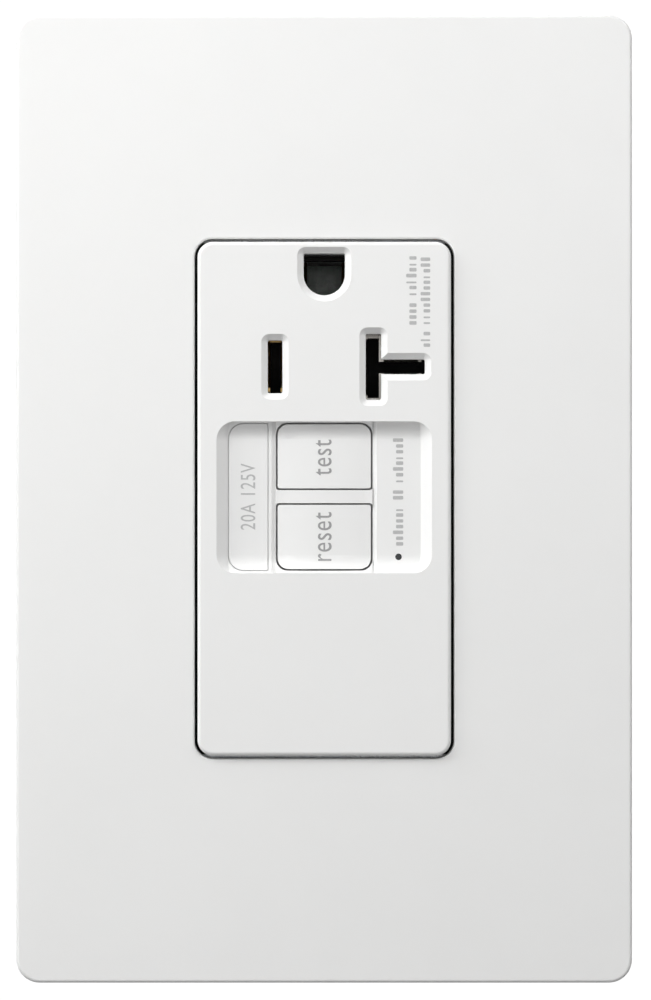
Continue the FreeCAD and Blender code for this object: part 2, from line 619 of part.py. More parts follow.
def make_back_body():
    body = slab(BODY_W, BODY_H, 1.2, SEAM_BACK, BODY_BACK)
    rim = [e for e in body.Edges if abs(e.BoundBox.YMin - BODY_BACK) < 1e-6]
    body = body.makeChamfer(0.8, rim)
    body = cut(body, prism(rect(-19.8, 19.8, -31.9, 31.9), 0.6, SEAM_BACK - 1, 24.4))
    add, tools = [], []
    for s in (-1, 1):
        for z0, z1 in bay_zs():
            add.append(box(s * BAY_WALL[0], s * 21.0, SEAM_BACK, 25.0, z0 - 1.2, z1 + 1.2))
            tools.append(box(s * BAY_WALL[1], s * 23, SEAM_BACK - 1, 22.0, z0, z1))
            zc = (z0 + z1) / 2
            # screw tip clearance, and the notch for the strip or tab of the terminal
            tools.append(rod_x(TERM_Y, zc, 2.4, s * 14, s * 17))
            if zc > 0:
                tools.append(box(s * 15.0, s * 16.5, SEAM_BACK - 1, BUS_Y[1] + 0.05, 9.4, 18.6))
            else:
                tools.append(box(s * 15.0, s * 16.5, 18.7, 20.1, zc - 2.1, zc + 2.1))
            for zh in WIRE_HOLE_Z:
                z = math.copysign(zh, zc)
                tools.append(rod_y(s * WIRE_HOLE_X, z, WIRE_HOLE_R, 21, 27))
                tools.append(cone_y(s * WIRE_HOLE_X, z, WIRE_HOLE_R, 2.0, 25.2, BODY_BACK + 1e-3))
        for sz in (-1, 1):
            x, z = s * HOUSING_SCREW[0], sz * HOUSING_SCREW[1]
            add.append(rod_y(x, z, 2.8, SEAM_BACK, 24.5))
            tools.append(rod_y(x, z, 1.5, 6, 27))
            tools.append(rod_y(x, z, 2.4, 24.6, 27))
        add.append(rod_y(s * 11.0, 23.6, 1.3, BOARD_Y[1], 24.5))
        add.append(rod_y(s * 9.0, -26.0, 1.3, BOARD_Y[1], 24.5))
    # panel on the back for the rating label, slightly sunk
    tools.append(prism(rect(-10.5, 10.5, -19, 19), 0.8, BODY_BACK - 0.25, 27))
    return cut(union([body] + add), *tools)


def make_housing_screws():
    out = []
    for s in (-1, 1):
        for sz in (-1, 1):
            x, z = s * HOUSING_SCREW[0], sz * HOUSING_SCREW[1]
            shank = rod_y(x, z, 1.2, -3.2, 24.7)
            tip = cone_y(x, z, 0.6, 1.2, -3.8, -3.2)
            head = rod_y(x, z, 2.15, 24.62, 25.8)
            edge = [e for e in head.Edges if abs(e.BoundBox.YMin - 25.8) < 1e-6]
            head = head.makeFillet(0.4, edge)
            screw = union([shank, tip, head])
            out.append(cut(screw, box(x - 1.5, x + 1.5, 25.2, 27, z - 0.3, z + 0.3),
                           box(x - 0.3, x + 0.3, 25.2, 27, z - 1.5, z + 1.5)))
    return Part.makeCompound(out)


def make_light_pipe():
    x, z = LIGHT_X, LIGHT_Z
    nib = rod_y(x, z, 0.41, FLOOR_Y + 0.05, -4.8)
    body = rod_y(x, z, 1.2, -4.85, 16.2)
    flange = rod_y(x, z, 1.9, -3.9, -3.1)
    foot = cone_y(x, z, 1.2, 1.8, 16.2, 17.0)
    return union([nib, body, flange, foot])


# ---------------------------------------------------------------- contacts and buses
def make_hot_load_bus():
    y0, y1 = BUS_Y
    leaf_y = -4.2
    parts = []
    for a, b in ((-7.65, -7.05), (-5.65, -5.05)):
        parts.append(box(a, b, leaf_y + 1.2, 7.4, 13.9, 20.9))
        out = -0.55 if a < -6.35 else 0.55
        tip = polygon_face([(a + out, leaf_y, 14.4), (b + out, leaf_y, 14.4), (b, leaf_y + 1.2, 14.4),
                            (a, leaf_y + 1.2, 14.4)])
        parts.append(tip.extrude(V(0, 0, 6.0)))
    parts.append(box(-7.65, -5.05, 1.0, 7.4, 20.4, 21.0))
    parts.append(box(-7.65, -7.05, 7.3, y1, 14.4, 19.7))
    parts.append(box(-15.0, -7.05, y0, y1, 14.4, 18.4))
    parts.append(box(-15.0, -10.3, y0, y1, 4.4, 18.4))
    parts.append(box(-15.0, -7.2, y0, y1, 4.4, 8.0))
    parts.append(box(-17.6, -14.5, y0, y1, 9.5, 18.4))
    parts.append(terminal_plate(-1, 9.5, 18.4))
    parts.append(rod_y(-9.1, 6.2, 1.5, y1 - 0.1, 8.9))
    body = union(parts)
    return cut(body, rod_x(TERM_Y, TERM_Z, 2.05, -19, -15))


def terminal_plate(s, z0, z1):
    return box(s * TERM_PLATE[0], s * TERM_PLATE[1], BUS_Y[0], 20.0, z0, z1)


def make_neutral_load_bus():
    y0, y1 = BUS_Y
    leaf_y = -4.2
    parts = [box(5.0, 5.6, leaf_y + 1.2, 7.4, 12.9, 21.2)]
    for z0, z1 in ((18.3, 21.2), (12.9, 15.8)):
        parts.append(box(7.1, 7.7, leaf_y + 1.2, 7.4, z0, z1))
    tip = polygon_face([(4.45, leaf_y, 13.4), (5.05, leaf_y, 13.4), (5.6, leaf_y + 1.2, 13.4),
                        (5.0, leaf_y + 1.2, 13.4)])
    parts.append(tip.extrude(V(0, 0, 7.3)))
    for s in (-1, 1):
        z = BLADE_Z
        parts.append(box(7.1, 12.6, leaf_y + 1.2, 7.4, z + s * 0.75, z + s * 1.35))
        lip = polygon_face([(7.7, leaf_y, z + s * 1.35), (7.7, leaf_y, z + s * 1.95),
                            (7.7, leaf_y + 1.2, z + s * 1.35), (7.7, leaf_y + 1.2, z + s * 0.75)])
        parts.append(lip.extrude(V(4.5, 0, 0)))
        parts.append(box(5.0, 7.7, 1.0, 7.4, z + s * 3.9, z + s * 4.5))
    parts.append(box(7.1, 7.7, 7.3, y1, 18.4, 20.5))
    parts.append(box(7.1, 15.0, y0, y1, 18.4, 20.5))
    parts.append(box(14.3, 15.0, y0, y1, 4.4, 20.5))
    parts.append(box(7.2, 15.0, y0, y1, 4.4, 8.0))
    parts.append(box(14.5, 17.6, y0, y1, 9.5, 18.4))
    parts.append(terminal_plate(1, 9.5, 18.4))
    parts.append(rod_y(9.1, 6.2, 1.5, y1 - 0.1, 8.9))
    body = union(parts)
    return cut(body, rod_x(TERM_Y, TERM_Z, 2.05, 15, 19))


def make_line_strip(s):
    return union([box(s * 7.2, s * 14.4, BUS_Y[0], BUS_Y[1], -4.2, -0.6),
                  rod_y(s * 9.1, -2.4, 1.5, BUS_Y[1] - 0.1, 8.9)])


def make_line_terminal(s):
    body = union([terminal_plate(s, -18.5, -9.5),
                  box(s * 11.9, s * 17.0, 18.8, 20.0, -16.0, -12.0)])
    return cut(body, rod_x(TERM_Y, -TERM_Z, 2.05, s * 15, s * 19))


def make_bridge(s):
    pads = [rod_y(s * 9.1, z, 1.5, 8.9, 9.7) for z in (-2.4, 6.2)]
    blade = prism(rect(min(s * 7.3, s * 10.9), max(s * 7.3, s * 10.9), -4.2, 8.0), 1.2, 9.6, 10.2)
    return union([blade] + pads)


def make_conductor(s):
    pts = [(s * 13.2, 20.0, -14.0), (s * 13.2, 23.5, -14.0), (s * 13.2, 23.5, 7.0),
           (s * 1.35, 23.5, COIL_Z), (s * 1.35, 10.2, COIL_Z), (s * 1.35, 10.2, 9.9),
           (s * 12.9, 10.2, 9.9), (s * 12.9, 10.2, -2.4), (s * 12.9, BUS_Y[1], -2.4)]
    return wire_along(pts, 1.1, 0.8)


def make_terminal_screw(s, zc):
    y = TERM_Y
    clamp_out = TERM_PLATE[1] + WIRE_GAP + 1.2
    head0, head1 = s * (clamp_out + 0.02), s * (clamp_out + 2.4)
    head = rod_x(y, zc, 3.8, head0, head1)
    edge = [e for e in head.Edges if abs(abs(e.BoundBox.XMin) - abs(head1)) < 1e-6
            and abs(e.BoundBox.XLength) < 1e-6]
    head = head.makeFillet(0.5, edge)
    shank = rod_x(y, zc, 2.0, s * (clamp_out + 0.1), s * 17.0)
    tip = cone_x(y, zc, 2.0, 1.3, s * 17.0, s * 16.45)
    deep = s * (clamp_out + 1.2)
    cross = [box(deep, s * 26, y - 3.9, y + 3.9, zc - 0.5, zc + 0.5),
             box(deep, s * 26, y - 0.5, y + 0.5, zc - 2.4, zc + 2.4)]
    return cut(union([head, shank, tip]), *cross)


def make_clamp(s, zc):
    x0 = TERM_PLATE[1] + WIRE_GAP
    plate = box(s * x0, s * (x0 + 1.2), 9.6, 20.0, zc - 5.2, zc + 5.2)
    edges = [e for e in plate.Edges if abs(e.BoundBox.XLength - 1.2) < 1e-6]
    plate = plate.makeFillet(1.0, edges)
    # shallow grooves that seat the two wires
    grooves = [rod_y(s * (x0 - 0.95), zc + dz, 1.3, 9, 21) for dz in (-3.3, 3.3)]
    return cut(plate, rod_x(TERM_Y, zc, 2.1, s * 18, s * 23), *grooves)


# ---------------------------------------------------------------- test and trip mechanism
def make_test_arm():
    leaf = prism(rect(-11.3, 5.0, 4.15, 6.65), 0.4, 1.1, 1.4)
    bump = Part.makeSphere(0.7, V(4.2, 1.0, 5.4)).common(box(3, 6, 1.2, 3, 4, 7))
    return union([leaf, bump])


def make_test_root():
    post = box(-11.4, -9.9, 1.56, 5.6, 4.0, 6.8)
    foot = box(-13.6, -9.0, 5.0, 5.6, 4.0, 6.8)
    return union([post, foot])


def make_test_post():
    return union([rod_y(4.2, 5.4, 0.7, 3.5, 5.6), rod_y(4.2, 5.4, 1.3, 5.1, 5.6)])


def make_lifter():
    body = prism(rect(-5.2, 5.2, -8.7, -0.9), 0.4, 8.6, 13.6)
    wings = [box(s * 5.0, s * 11.2, 10.2, 11.5, -4.4, 2.4) for s in (-1, 1)]
    webs = [box(s * 1.0, s * 5.2, 10.2, 13.4, -1.2, 2.4) for s in (-1, 1)]
    return cut(union([body] + wings + webs),
               rod_y(0, RESET_PIN_Z, 1.3, 8, 14),
               box(-2.66, 2.66, 10.86, 11.54, -10, 3))


def make_latch():
    plate = box(-2.6, 2.6, 10.9, 11.5, -11.0, -1.5)
    tab = box(-2.6, 2.6, 10.9, 16.6, -11.0, -10.4)
    hole = prism(rect(-1.35, 1.35, -7.65, -4.15), 0.4, 10, 12)
    return cut(union([plate, tab]), hole)


# ---------------------------------------------------------------- electronics
def make_board():
    board = box(-14.6, 14.6, BOARD_Y[0], BOARD_Y[1], -31.2, 31.2)
    tools = [rod_y(0, COIL_Z, 3.5, 20, 24)]
    for s in (-1, 1):
        for sz in (-1, 1):
            tools.append(box(s * 9.2, s * 16, 20, 24, sz * 25.5, sz * 33))
        tools.append(box(s * 11.8, s * 16, 20, 24, -16.2, -11.8))
    return cut(board, *tools)


def make_coil_cup():
    y0, y1 = 11.9, BOARD_Y[0]
    body = rod_y(0, COIL_Z, COIL_R, y0, y1)
    well = cut(rod_y(0, COIL_Z, COIL_R - 0.7, y0 + 0.7, y1 + 1), rod_y(0, COIL_Z, 4.3, y0, y1 + 2))
    return cut(body, well, rod_y(0, COIL_Z, 3.5, y0 - 1, y1 + 1))


def make_core(y0, y1):
    ring = cut(rod_y(0, COIL_Z, 9.3, y0, y1), rod_y(0, COIL_Z, 4.6, y0 - 1, y1 + 1))
    edges = [e for e in ring.Edges if abs(e.BoundBox.YLength) < 1e-6]
    return ring.makeFillet(0.8, edges)


def make_bobbin():
    y = SOLENOID_Y
    parts = [rod_z(0, y, 2.9, -28.0, -16.6)]
    for z in (-28.0, -17.4):
        parts.append(box(-5.8, 5.8, 9.6, BOARD_Y[0] - 0.1, z, z + 0.8))
    return cut(union(parts), rod_z(0, y, 2.3, -29, -16))


def make_winding():
    y = SOLENOID_Y
    return cut(rod_z(0, y, 5.3, -27.2, -17.4), rod_z(0, y, 2.9, -28, -17))


def make_yoke():
    y = SOLENOID_Y
    parts = [box(s * 5.9, s * 7.0, 10.4, 20.0, -29.2, -15.4) for s in (-1, 1)]
    back = cut(box(-7, 7, 10.4, 20.0, -29.2, -28.05), rod_z(0, y, 2.35, -30, -28))
    front = cut(box(-7, 7, 10.4, 20.0, -16.55, -15.4), rod_z(0, y, 1.3, -17, -15))
    return union(parts + [back, front])


def make_plunger():
    y = SOLENOID_Y
    return union([rod_z(0, y, 2.15, -28.6, -21.4), rod_z(0, y, 1.1, -21.5, -11.4),
                  Part.makeCone(1.1, 0.7, 0.35, V(0, y, -11.4), V(0, 0, 1))])


def leads(points, r, y0):
    return [rod_y(x, z, r, y0, BOARD_Y[0]) for x, z in points]


def make_varistor():
    disc = rod_x(16.2, -7.6, 4.2, -13.6, -10.0)
    edges = [e for e in disc.Edges if abs(e.BoundBox.XLength) < 1e-6]
    disc = disc.makeFillet(1.2, edges)
    return union([disc] + leads([(-12.6, -10.1), (-11.0, -5.1)], 0.4, 17.0))


def make_controller():
    chip = box(9.2, 13.0, 18.9, 20.5, -1.2, 4.6)
    legs = []
    for s, x in ((-1, 9.2), (1, 13.0)):
        for i in range(4):
            z = -0.5 + 1.27 * i + 0.3
            legs.append(box(x - 0.1 * s, x + 0.75 * s, 19.6, 19.8, z - 0.2, z + 0.2))
            legs.append(box(x + 0.55 * s, x + 0.75 * s, 19.6, BOARD_Y[0], z - 0.2, z + 0.2))
    return union([chip] + legs)


def make_scr():
    can = rod_y(-11.4, 2.0, 2.3, 14.8, 19.2)
    can = can.common(box(-13.0, -9, 14, 20, -1, 5))
    return union([can] + leads([(-11.4, 0.7), (-11.4, 2.0), (-11.4, 3.3)], 0.25, 19.0))


def make_film_capacitor():
    block = box(7.9, 13.4, 13.6, 20.4, -25.2, -17.0)
    edges = [e for e in block.Edges if e.BoundBox.YMin < 13.7 or e.BoundBox.YLength > 5]
    block = block.makeFillet(0.7, edges)
    return union([block] + leads([(10.6, -23.8), (10.6, -18.4)], 0.3, 20.3))


def make_filter_capacitor():
    can = rod_y(-10.5, -21.6, 3.0, 12.0, 20.5)
    edges = [e for e in can.Edges if abs(e.BoundBox.YMax - 12.0) < 1e-6]
    can = can.makeFillet(0.5, edges)
    return union([can] + leads([(-11.5, -21.6), (-9.5, -21.6)], 0.3, 20.4))


def axial(x, z, y, r, length, along="x"):
    """An axial part lying over the board with its two bent leads."""
    h = length / 2
    body = rod_x(y, z, r, x - h, x + h) if along == "x" else rod_z(x, y, r, z - h, z + h)
    wires = []
    for s in (-1, 1):
        run = [s * (h - 0.3), s * (h + 1.0), s * (h + 1.0)]
        depth = [y, y, BOARD_Y[0]]
        pts = [(x + a, d, z) if along == "x" else (x, d, z + a) for a, d in zip(run, depth)]
        wires.append(wire_along(pts, 0.5, 0.28))
    return union([body] + wires)


def make_small_parts():
    """Four rectifier diodes, four small resistors and the larger test resistor."""
    diodes = [axial(-3.6, z, 19.4, 1.2, 4.4) for z in (0.4, -3.2, -6.6, -10.0)]
    resistors = [axial(4.4, z, 19.6, 0.95, 3.6) for z in (-10.6, -7.8, -5.0, -2.2)]
    return Part.makeCompound(diodes + resistors + [axial(12.7, 11.4, 19.2, 1.4, 6.0, "z")])


def make_status_led():
    x, z = LIGHT_X, LIGHT_Z
    dome = union([rod_y(x, z, 1.3, 18.1, 20.0), Part.makeSphere(1.3, V(x, 18.4, z)),
                  rod_y(x, z, 1.6, 19.4, 20.2)])
    return union([dome] + leads([(x, z - 0.7), (x, z + 0.7)], 0.25, 20.1))


# ---------------------------------------------------------------- write every node
PARTS = {
    "cover_plate": make_cover_plate,
    "sub_plate": make_sub_plate,
    "sub_plate_screws": make_sub_plate_screws,
    "mounting_strap": make_strap,
    "mounting_screws": make_mounting_screws,
    "screw_retainers": make_retainers,
    "self_ground_clip": make_self_ground_clip,
    "ground_contact": make_ground_contact,
    "ground_rivets": make_ground_rivets,
    "ground_screw": make_ground_screw,
    "face_cover": make_face_cover,
    "label_insert": make_label_insert,
    "test_button": lambda: make_button("test"),
    "reset_button": lambda: make_button("reset"),
    "reset_pin": make_reset_pin,
    "reset_spring": lambda: spring("y", (0, -4.74, RESET_PIN_Z), 1.95, 0.22, 8.0, 10.1),
    "middle_housing": make_middle_housing,
    "separator": make_separator,
    "back_body": make_back_body,
    "housing_screws": make_housing_screws,
    "light_pipe": make_light_pipe,
    "status_led": make_status_led,
    "hot_load_bus": make_hot_load_bus,
    "neutral_load_bus": make_neutral_load_bus,
    "line_hot_strip": lambda: make_line_strip(-1),
    "line_neutral_strip": lambda: make_line_strip(1),
    "line_hot_terminal": lambda: make_line_terminal(-1),
    "line_neutral_terminal": lambda: make_line_terminal(1),
    "hot_bridge": lambda: make_bridge(-1),
    "neutral_bridge": lambda: make_bridge(1),
    "line_hot_conductor": lambda: make_conductor(-1),
    "line_neutral_conductor": lambda: make_conductor(1),
    "load_hot_screw": lambda: make_terminal_screw(-1, TERM_Z),
    "load_neutral_screw": lambda: make_terminal_screw(1, TERM_Z),
    "line_hot_screw": lambda: make_terminal_screw(-1, -TERM_Z),
    "line_neutral_screw": lambda: make_terminal_screw(1, -TERM_Z),
    "load_hot_clamp": lambda: make_clamp(-1, TERM_Z),
    "load_neutral_clamp": lambda: make_clamp(1, TERM_Z),
    "line_hot_clamp": lambda: make_clamp(-1, -TERM_Z),
    "line_neutral_clamp": lambda: make_clamp(1, -TERM_Z),
    "test_contact_arm": make_test_arm,
    "test_arm_root": make_test_root,
    "test_post": make_test_post,
    "lifter": make_lifter,
    "latch": make_latch,
    "circuit_board": make_board,
    "coil_cup": make_coil_cup,
    "neutral_core": lambda: make_core(12.8, 16.4),
    "sense_core": lambda: make_core(16.9, 20.5),
    "solenoid_bobbin": make_bobbin,
    "solenoid_winding": make_winding,
    "solenoid_yoke": make_yoke,
    "plunger": make_plunger,
    "plunger_spring": lambda: spring("z", (0, SOLENOID_Y, -21.2), 1.62, 0.2, 6.0, 4.4),
    "varistor": make_varistor,
    "controller_chip": make_controller,
    "trip_thyristor": make_scr,
    "film_capacitor": make_film_capacitor,
    "filter_capacitor": make_filter_capacitor,
    "board_small_parts": make_small_parts,
}

if __name__ == "__main__":
    for old in os.listdir("parts"):
        if old.endswith(".step") and old[:-5] not in PARTS:
            os.remove(os.path.join("parts", old))
    for name, make in PARTS.items():
        shape = make()
        good = shape.isValid() and all(s.Volume > 0 for s in shape.Solids) and len(shape.Solids) > 0
        print(f"{name:24s} solids {len(shape.Solids):2d}  volume {shape.Volume:10.1f}  {'ok' if good else 'BAD'}")
        shape.exportStep(f"parts/{name}.step")
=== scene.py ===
"""Looks for the ground-fault outlet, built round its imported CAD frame. Everything is in metres."""
import json
import math
import random

import bmesh
import bpy
from mathutils import Matrix, Vector


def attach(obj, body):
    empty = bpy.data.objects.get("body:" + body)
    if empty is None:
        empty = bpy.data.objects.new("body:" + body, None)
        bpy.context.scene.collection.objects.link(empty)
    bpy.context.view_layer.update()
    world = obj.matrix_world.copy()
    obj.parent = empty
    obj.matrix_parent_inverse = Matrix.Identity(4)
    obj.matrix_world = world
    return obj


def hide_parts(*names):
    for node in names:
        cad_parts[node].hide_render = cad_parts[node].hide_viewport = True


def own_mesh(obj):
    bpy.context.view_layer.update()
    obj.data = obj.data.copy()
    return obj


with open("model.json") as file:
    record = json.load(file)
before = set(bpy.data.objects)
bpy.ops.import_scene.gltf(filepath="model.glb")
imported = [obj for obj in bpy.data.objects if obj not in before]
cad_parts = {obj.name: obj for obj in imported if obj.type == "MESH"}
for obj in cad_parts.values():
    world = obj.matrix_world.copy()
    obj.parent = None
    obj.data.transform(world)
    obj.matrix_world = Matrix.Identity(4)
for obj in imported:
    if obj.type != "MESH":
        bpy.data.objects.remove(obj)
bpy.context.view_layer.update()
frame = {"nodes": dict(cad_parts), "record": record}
NODES = frame["nodes"]
MM = 0.001

# ---------------------------------------------------------------- sizes shared with the CAD, mm
PANEL_Y, HUB_Y = -6.10, -8.78                # control panel's skin and the centre of its end scoops
PANEL_Z0, PANEL_Z1 = -7.3, 7.7               # straight part of the panel
CROWN_MID, CROWN_RISE, CROWN_X = -6.35, 0.35, 6.24   # buttons: middle of the crown, its rise, half width
FACE_Y, BODY_BACK = -7.4, 26.0               # front of the face, back of the body
SCREW_Z, SCREW_NECK = 41.67, 1.50            # device screws: height above the middle, radius of the neck
COVER_SCREW_Z = 48.42                        # screws of the sub-plate
SCREW_CREST, SCREW_ROOT, SCREW_PITCH = 1.75, 1.38, 0.794   # number 6-32 thread
TERM_Y, TERM_Z = 14.5, 14.0                  # terminal screws
TERM_CREST, TERM_ROOT = 2.0, 1.62
GROUND_SCREW = (0, 6.0, -40.2)
SOLENOID_Y, SOLENOID_Z, SOLENOID_R = 15.2, (-27.15, -17.45), 5.12   # axis, ends and radius of the winding
CORE_Z, CORE_R = 15.6, (4.52, 9.38)          # sensing cores: centre, inner and outer radius of the turns
BOARD_BACK = 22.6
LABEL_X, LABEL_Z, LABEL_DEEP, LABEL_THICK = 9.9, 18.4, 0.25, 0.09   # label: half sizes, recess, paper


# ---------------------------------------------------------------- camera
LENS, SENSOR = 200.0, 36.0                   # mm
FRAME_TALL = 129.1 * MM                      # what the frame's long side spans at the plate
VIEW_X, VIEW_Z = 0.161 * MM, -0.155 * MM     # where the camera looks, straight on
PLATE_FRONT = -6.6 * MM


def add_camera():
    cam = bpy.data.cameras.new("camera")
    cam.lens = LENS
    cam.sensor_width = SENSOR
    cam.sensor_fit = "AUTO"
    cam.clip_start = 0.01
    cam.clip_end = 20
    obj = bpy.data.objects.new("camera", cam)
    distance = FRAME_TALL * LENS / SENSOR
    obj.location = (VIEW_X, PLATE_FRONT - distance, VIEW_Z)
    obj.rotation_euler = (math.radians(90), 0, 0)
    bpy.context.scene.collection.objects.link(obj)
    bpy.context.scene.camera = obj


# ---------------------------------------------------------------- lights and world
# Each lamp aims at the object: azimuth and elevation in degrees, distance and disk size in metres, watts.
LIGHTS = {
    "key_near": (-35, 45, 0.5, 0.24, 1.3),
    "graze_left": (-68, 32, 0.55, 0.26, 1.35),
    "left": (-80, 8, 0.55, 0.3, 0.35),
    "front_left": (-35, 8, 0.8, 0.4, 1.5),
    "front": (0, 0, 1.1, 0.8, 1.8),
    "right_up": (45, 40, 0.6, 0.3, 1.0),
    "right": (75, 8, 0.6, 0.3, 0.5),
    "back_left": (-140, 30, 0.6, 0.4, 1.2),
    "back_right": (140, 25, 0.6, 0.4, 1.2),
}
FLOOR_LAMP, FLOOR_LAMP_AIM = Vector((0, 0.80, 0.75)), Vector((0, 0.80, 0))
FLOOR_LAMP_SIZE, FLOOR_LAMP_POWER = 1.0, 4.5
AMBIENT, BACKDROP = 0.04, 1.05               # world strength: as light, and as the camera sees it


def add_light(name, place, aim, size, power):
    light = bpy.data.lights.new(name, "AREA")
    light.shape = "DISK"
    light.size = size
    light.energy = power
    obj = bpy.data.objects.new(name, light)
    obj.location = place
    obj.rotation_euler = (aim - place).to_track_quat("-Z", "Y").to_euler()
    bpy.context.scene.collection.objects.link(obj)


def add_lights():
    for name, (azimuth, elevation, distance, size, power) in LIGHTS.items():
        a, e = math.radians(azimuth), math.radians(elevation)
        place = Vector((math.sin(a) * math.cos(e), -math.cos(a) * math.cos(e), math.sin(e))) * distance
        add_light(name, place, Vector((0, 0, 0)), size, power)
    # a broad lamp over the floor behind the plate
    add_light("floor_rear", FLOOR_LAMP, FLOOR_LAMP_AIM, FLOOR_LAMP_SIZE, FLOOR_LAMP_POWER)


def add_world():
    world = bpy.data.worlds.new("studio")
    world.use_nodes = True
    nodes, links = world.node_tree.nodes, world.node_tree.links
    nodes.clear()
    seen, lit = nodes.new("ShaderNodeBackground"), nodes.new("ShaderNodeBackground")
    seen.inputs["Color"].default_value = (1, 1, 1, 1)
    seen.inputs["Strength"].default_value = BACKDROP
    lit.inputs["Color"].default_value = (0.97, 0.985, 1.0, 1)
    lit.inputs["Strength"].default_value = AMBIENT
    path, mix = nodes.new("ShaderNodeLightPath"), nodes.new("ShaderNodeMixShader")
    out = nodes.new("ShaderNodeOutputWorld")
    links.new(path.outputs["Is Camera Ray"], mix.inputs["Fac"])
    links.new(lit.outputs[0], mix.inputs[1])
    links.new(seen.outputs[0], mix.inputs[2])
    links.new(mix.outputs[0], out.inputs["Surface"])
    bpy.context.scene.world = world
    view = bpy.context.scene.view_settings
    view.view_transform = "Standard"
    view.look = "None"
    view.exposure = 0
    view.gamma = 1


# ---------------------------------------------------------------- material graphs
class Graph:
    """A Principled material with colour, roughness and bump from textures in the object's own space.

    A texture's scale counts its features in a metre, so 1000 is a feature of about a millimetre.
    """

    def __init__(self, name):
        self.material = bpy.data.materials.new(name)
        self.material.use_nodes = True
        self.nodes, self.links = self.material.node_tree.nodes, self.material.node_tree.links
        self.bsdf = self.nodes["Principled BSDF"]
        self.place = self.nodes.new("ShaderNodeTexCoord").outputs["Object"]

    def set(self, **values):
        for key, value in values.items():
            self.bsdf.inputs[key.replace("_", " ")].default_value = value

    def stretched(self, stretch):
        node = self.nodes.new("ShaderNodeMapping")
        node.inputs["Scale"].default_value = stretch
        self.links.new(self.place, node.inputs["Vector"])
        return node.outputs["Vector"]

    def noise(self, scale, detail=3.0, stretch=None, roughness=0.55, distortion=0.0):
        node = self.nodes.new("ShaderNodeTexNoise")
        node.inputs["Scale"].default_value = scale
        node.inputs["Detail"].default_value = detail
        node.inputs["Roughness"].default_value = roughness
        node.inputs["Distortion"].default_value = distortion
        self.links.new(self.stretched(stretch) if stretch else self.place, node.inputs["Vector"])
        return node.outputs["Fac"]

    def cells(self, scale):
        node = self.nodes.new("ShaderNodeTexVoronoi")
        node.inputs["Scale"].default_value = scale
        self.links.new(self.place, node.inputs["Vector"])
        return node.outputs["Distance"]

    def ramp(self, value, low, high, out_low=0.0, out_high=1.0):
        node = self.nodes.new("ShaderNodeMapRange")
        node.interpolation_type = "SMOOTHSTEP"
        limits = {"From Min": low, "From Max": high, "To Min": out_low, "To Max": out_high}
        for key, number in limits.items():
            node.inputs[key].default_value = number
        self.links.new(value, node.inputs["Value"])
        return node.outputs["Result"]

    def mix(self, factor, a, b):
        node = self.nodes.new("ShaderNodeMix")
        node.data_type = "RGBA"
        self.links.new(factor, node.inputs["Factor"])
        for socket, value in ((node.inputs["A"], a), (node.inputs["B"], b)):
            if isinstance(value, (tuple, list)):
                socket.default_value = (*value, 1.0)
            else:
                self.links.new(value, socket)
        return node.outputs["Result"]

    def combine(self, a, b, how="ADD"):
        node = self.nodes.new("ShaderNodeMath")
        node.operation = how
        for socket, value in zip(node.inputs, (a, b)):
            if isinstance(value, (int, float)):
                socket.default_value = value
            else:
                self.links.new(value, socket)
        return node.outputs[0]

    def axis(self, letter):
        node = self.nodes.new("ShaderNodeSeparateXYZ")
        self.links.new(self.place, node.inputs[0])
        return node.outputs[letter]

    def colour(self, output):
        self.links.new(output, self.bsdf.inputs["Base Color"])

    def rough(self, output):
        self.links.new(output, self.bsdf.inputs["Roughness"])

    def bump(self, height, depth_mm):
        node = self.nodes.new("ShaderNodeBump")
        node.inputs["Strength"].default_value = 1.0
        node.inputs["Distance"].default_value = depth_mm * MM
        self.links.new(height, node.inputs["Height"])
        self.links.new(node.outputs["Normal"], self.bsdf.inputs["Normal"])


def shade(colour, k):
    return tuple(min(1.0, c * k) for c in colour)


def plastic(name, colour, rough=(0.34, 0.44), grain=0.35, depth=0.004, mottle=0.015, glow=0.0,
            specular=0.5):
    """Moulded plastic: faint mottling, an eggshell grain of the given size in mm, uneven gloss."""
    g = Graph(name)
    cloud = g.noise(70, 4)
    g.colour(g.mix(g.ramp(cloud, 0.3, 0.7), shade(colour, 1 - mottle), shade(colour, 1 + mottle)))
    g.rough(g.ramp(g.noise(260, 3), 0.25, 0.75, *rough))
    skin = g.combine(g.noise(1000 / grain, 2), g.combine(g.noise(240 / grain, 2), 0.6, "MULTIPLY"))
    g.bump(skin, depth)
    g.set(Specular_IOR_Level=specular)
    if glow:
        g.set(Subsurface_Weight=glow, Subsurface_Scale=0.0006)
        g.bsdf.inputs["Subsurface Radius"].default_value = (1.0, 0.9, 0.8)
    return g.material


def metal(name, colour, tint, rough=(0.22, 0.38), along="Z", stain=0.35, depth=0.003):
    """Rolled or plated metal: streaks along one axis, soft stains of a second tint, fine scratches."""
    g = Graph(name)
    long = {"X": (0.06, 1, 1), "Y": (1, 0.06, 1), "Z": (1, 1, 0.06)}[along]
    streak = g.noise(5200, 4, long)
    patch = g.ramp(g.noise(160, 5, distortion=0.6), 0.42, 0.68, 0, stain)
    base = g.mix(g.ramp(streak, 0.3, 0.7), shade(colour, 0.93), shade(colour, 1.04))
    g.colour(g.mix(patch, base, tint))
    g.rough(g.ramp(g.combine(streak, g.noise(300, 3), "MULTIPLY"), 0.15, 0.4, *rough))
    scratch = g.ramp(g.noise(1500, 2, tuple(0.3 if s == 1 else 3.0 for s in long)), 0.60, 0.66, 0, 0.35)
    g.bump(g.combine(streak, scratch, "SUBTRACT"), depth)
    g.set(Metallic=1.0)
    return g.material


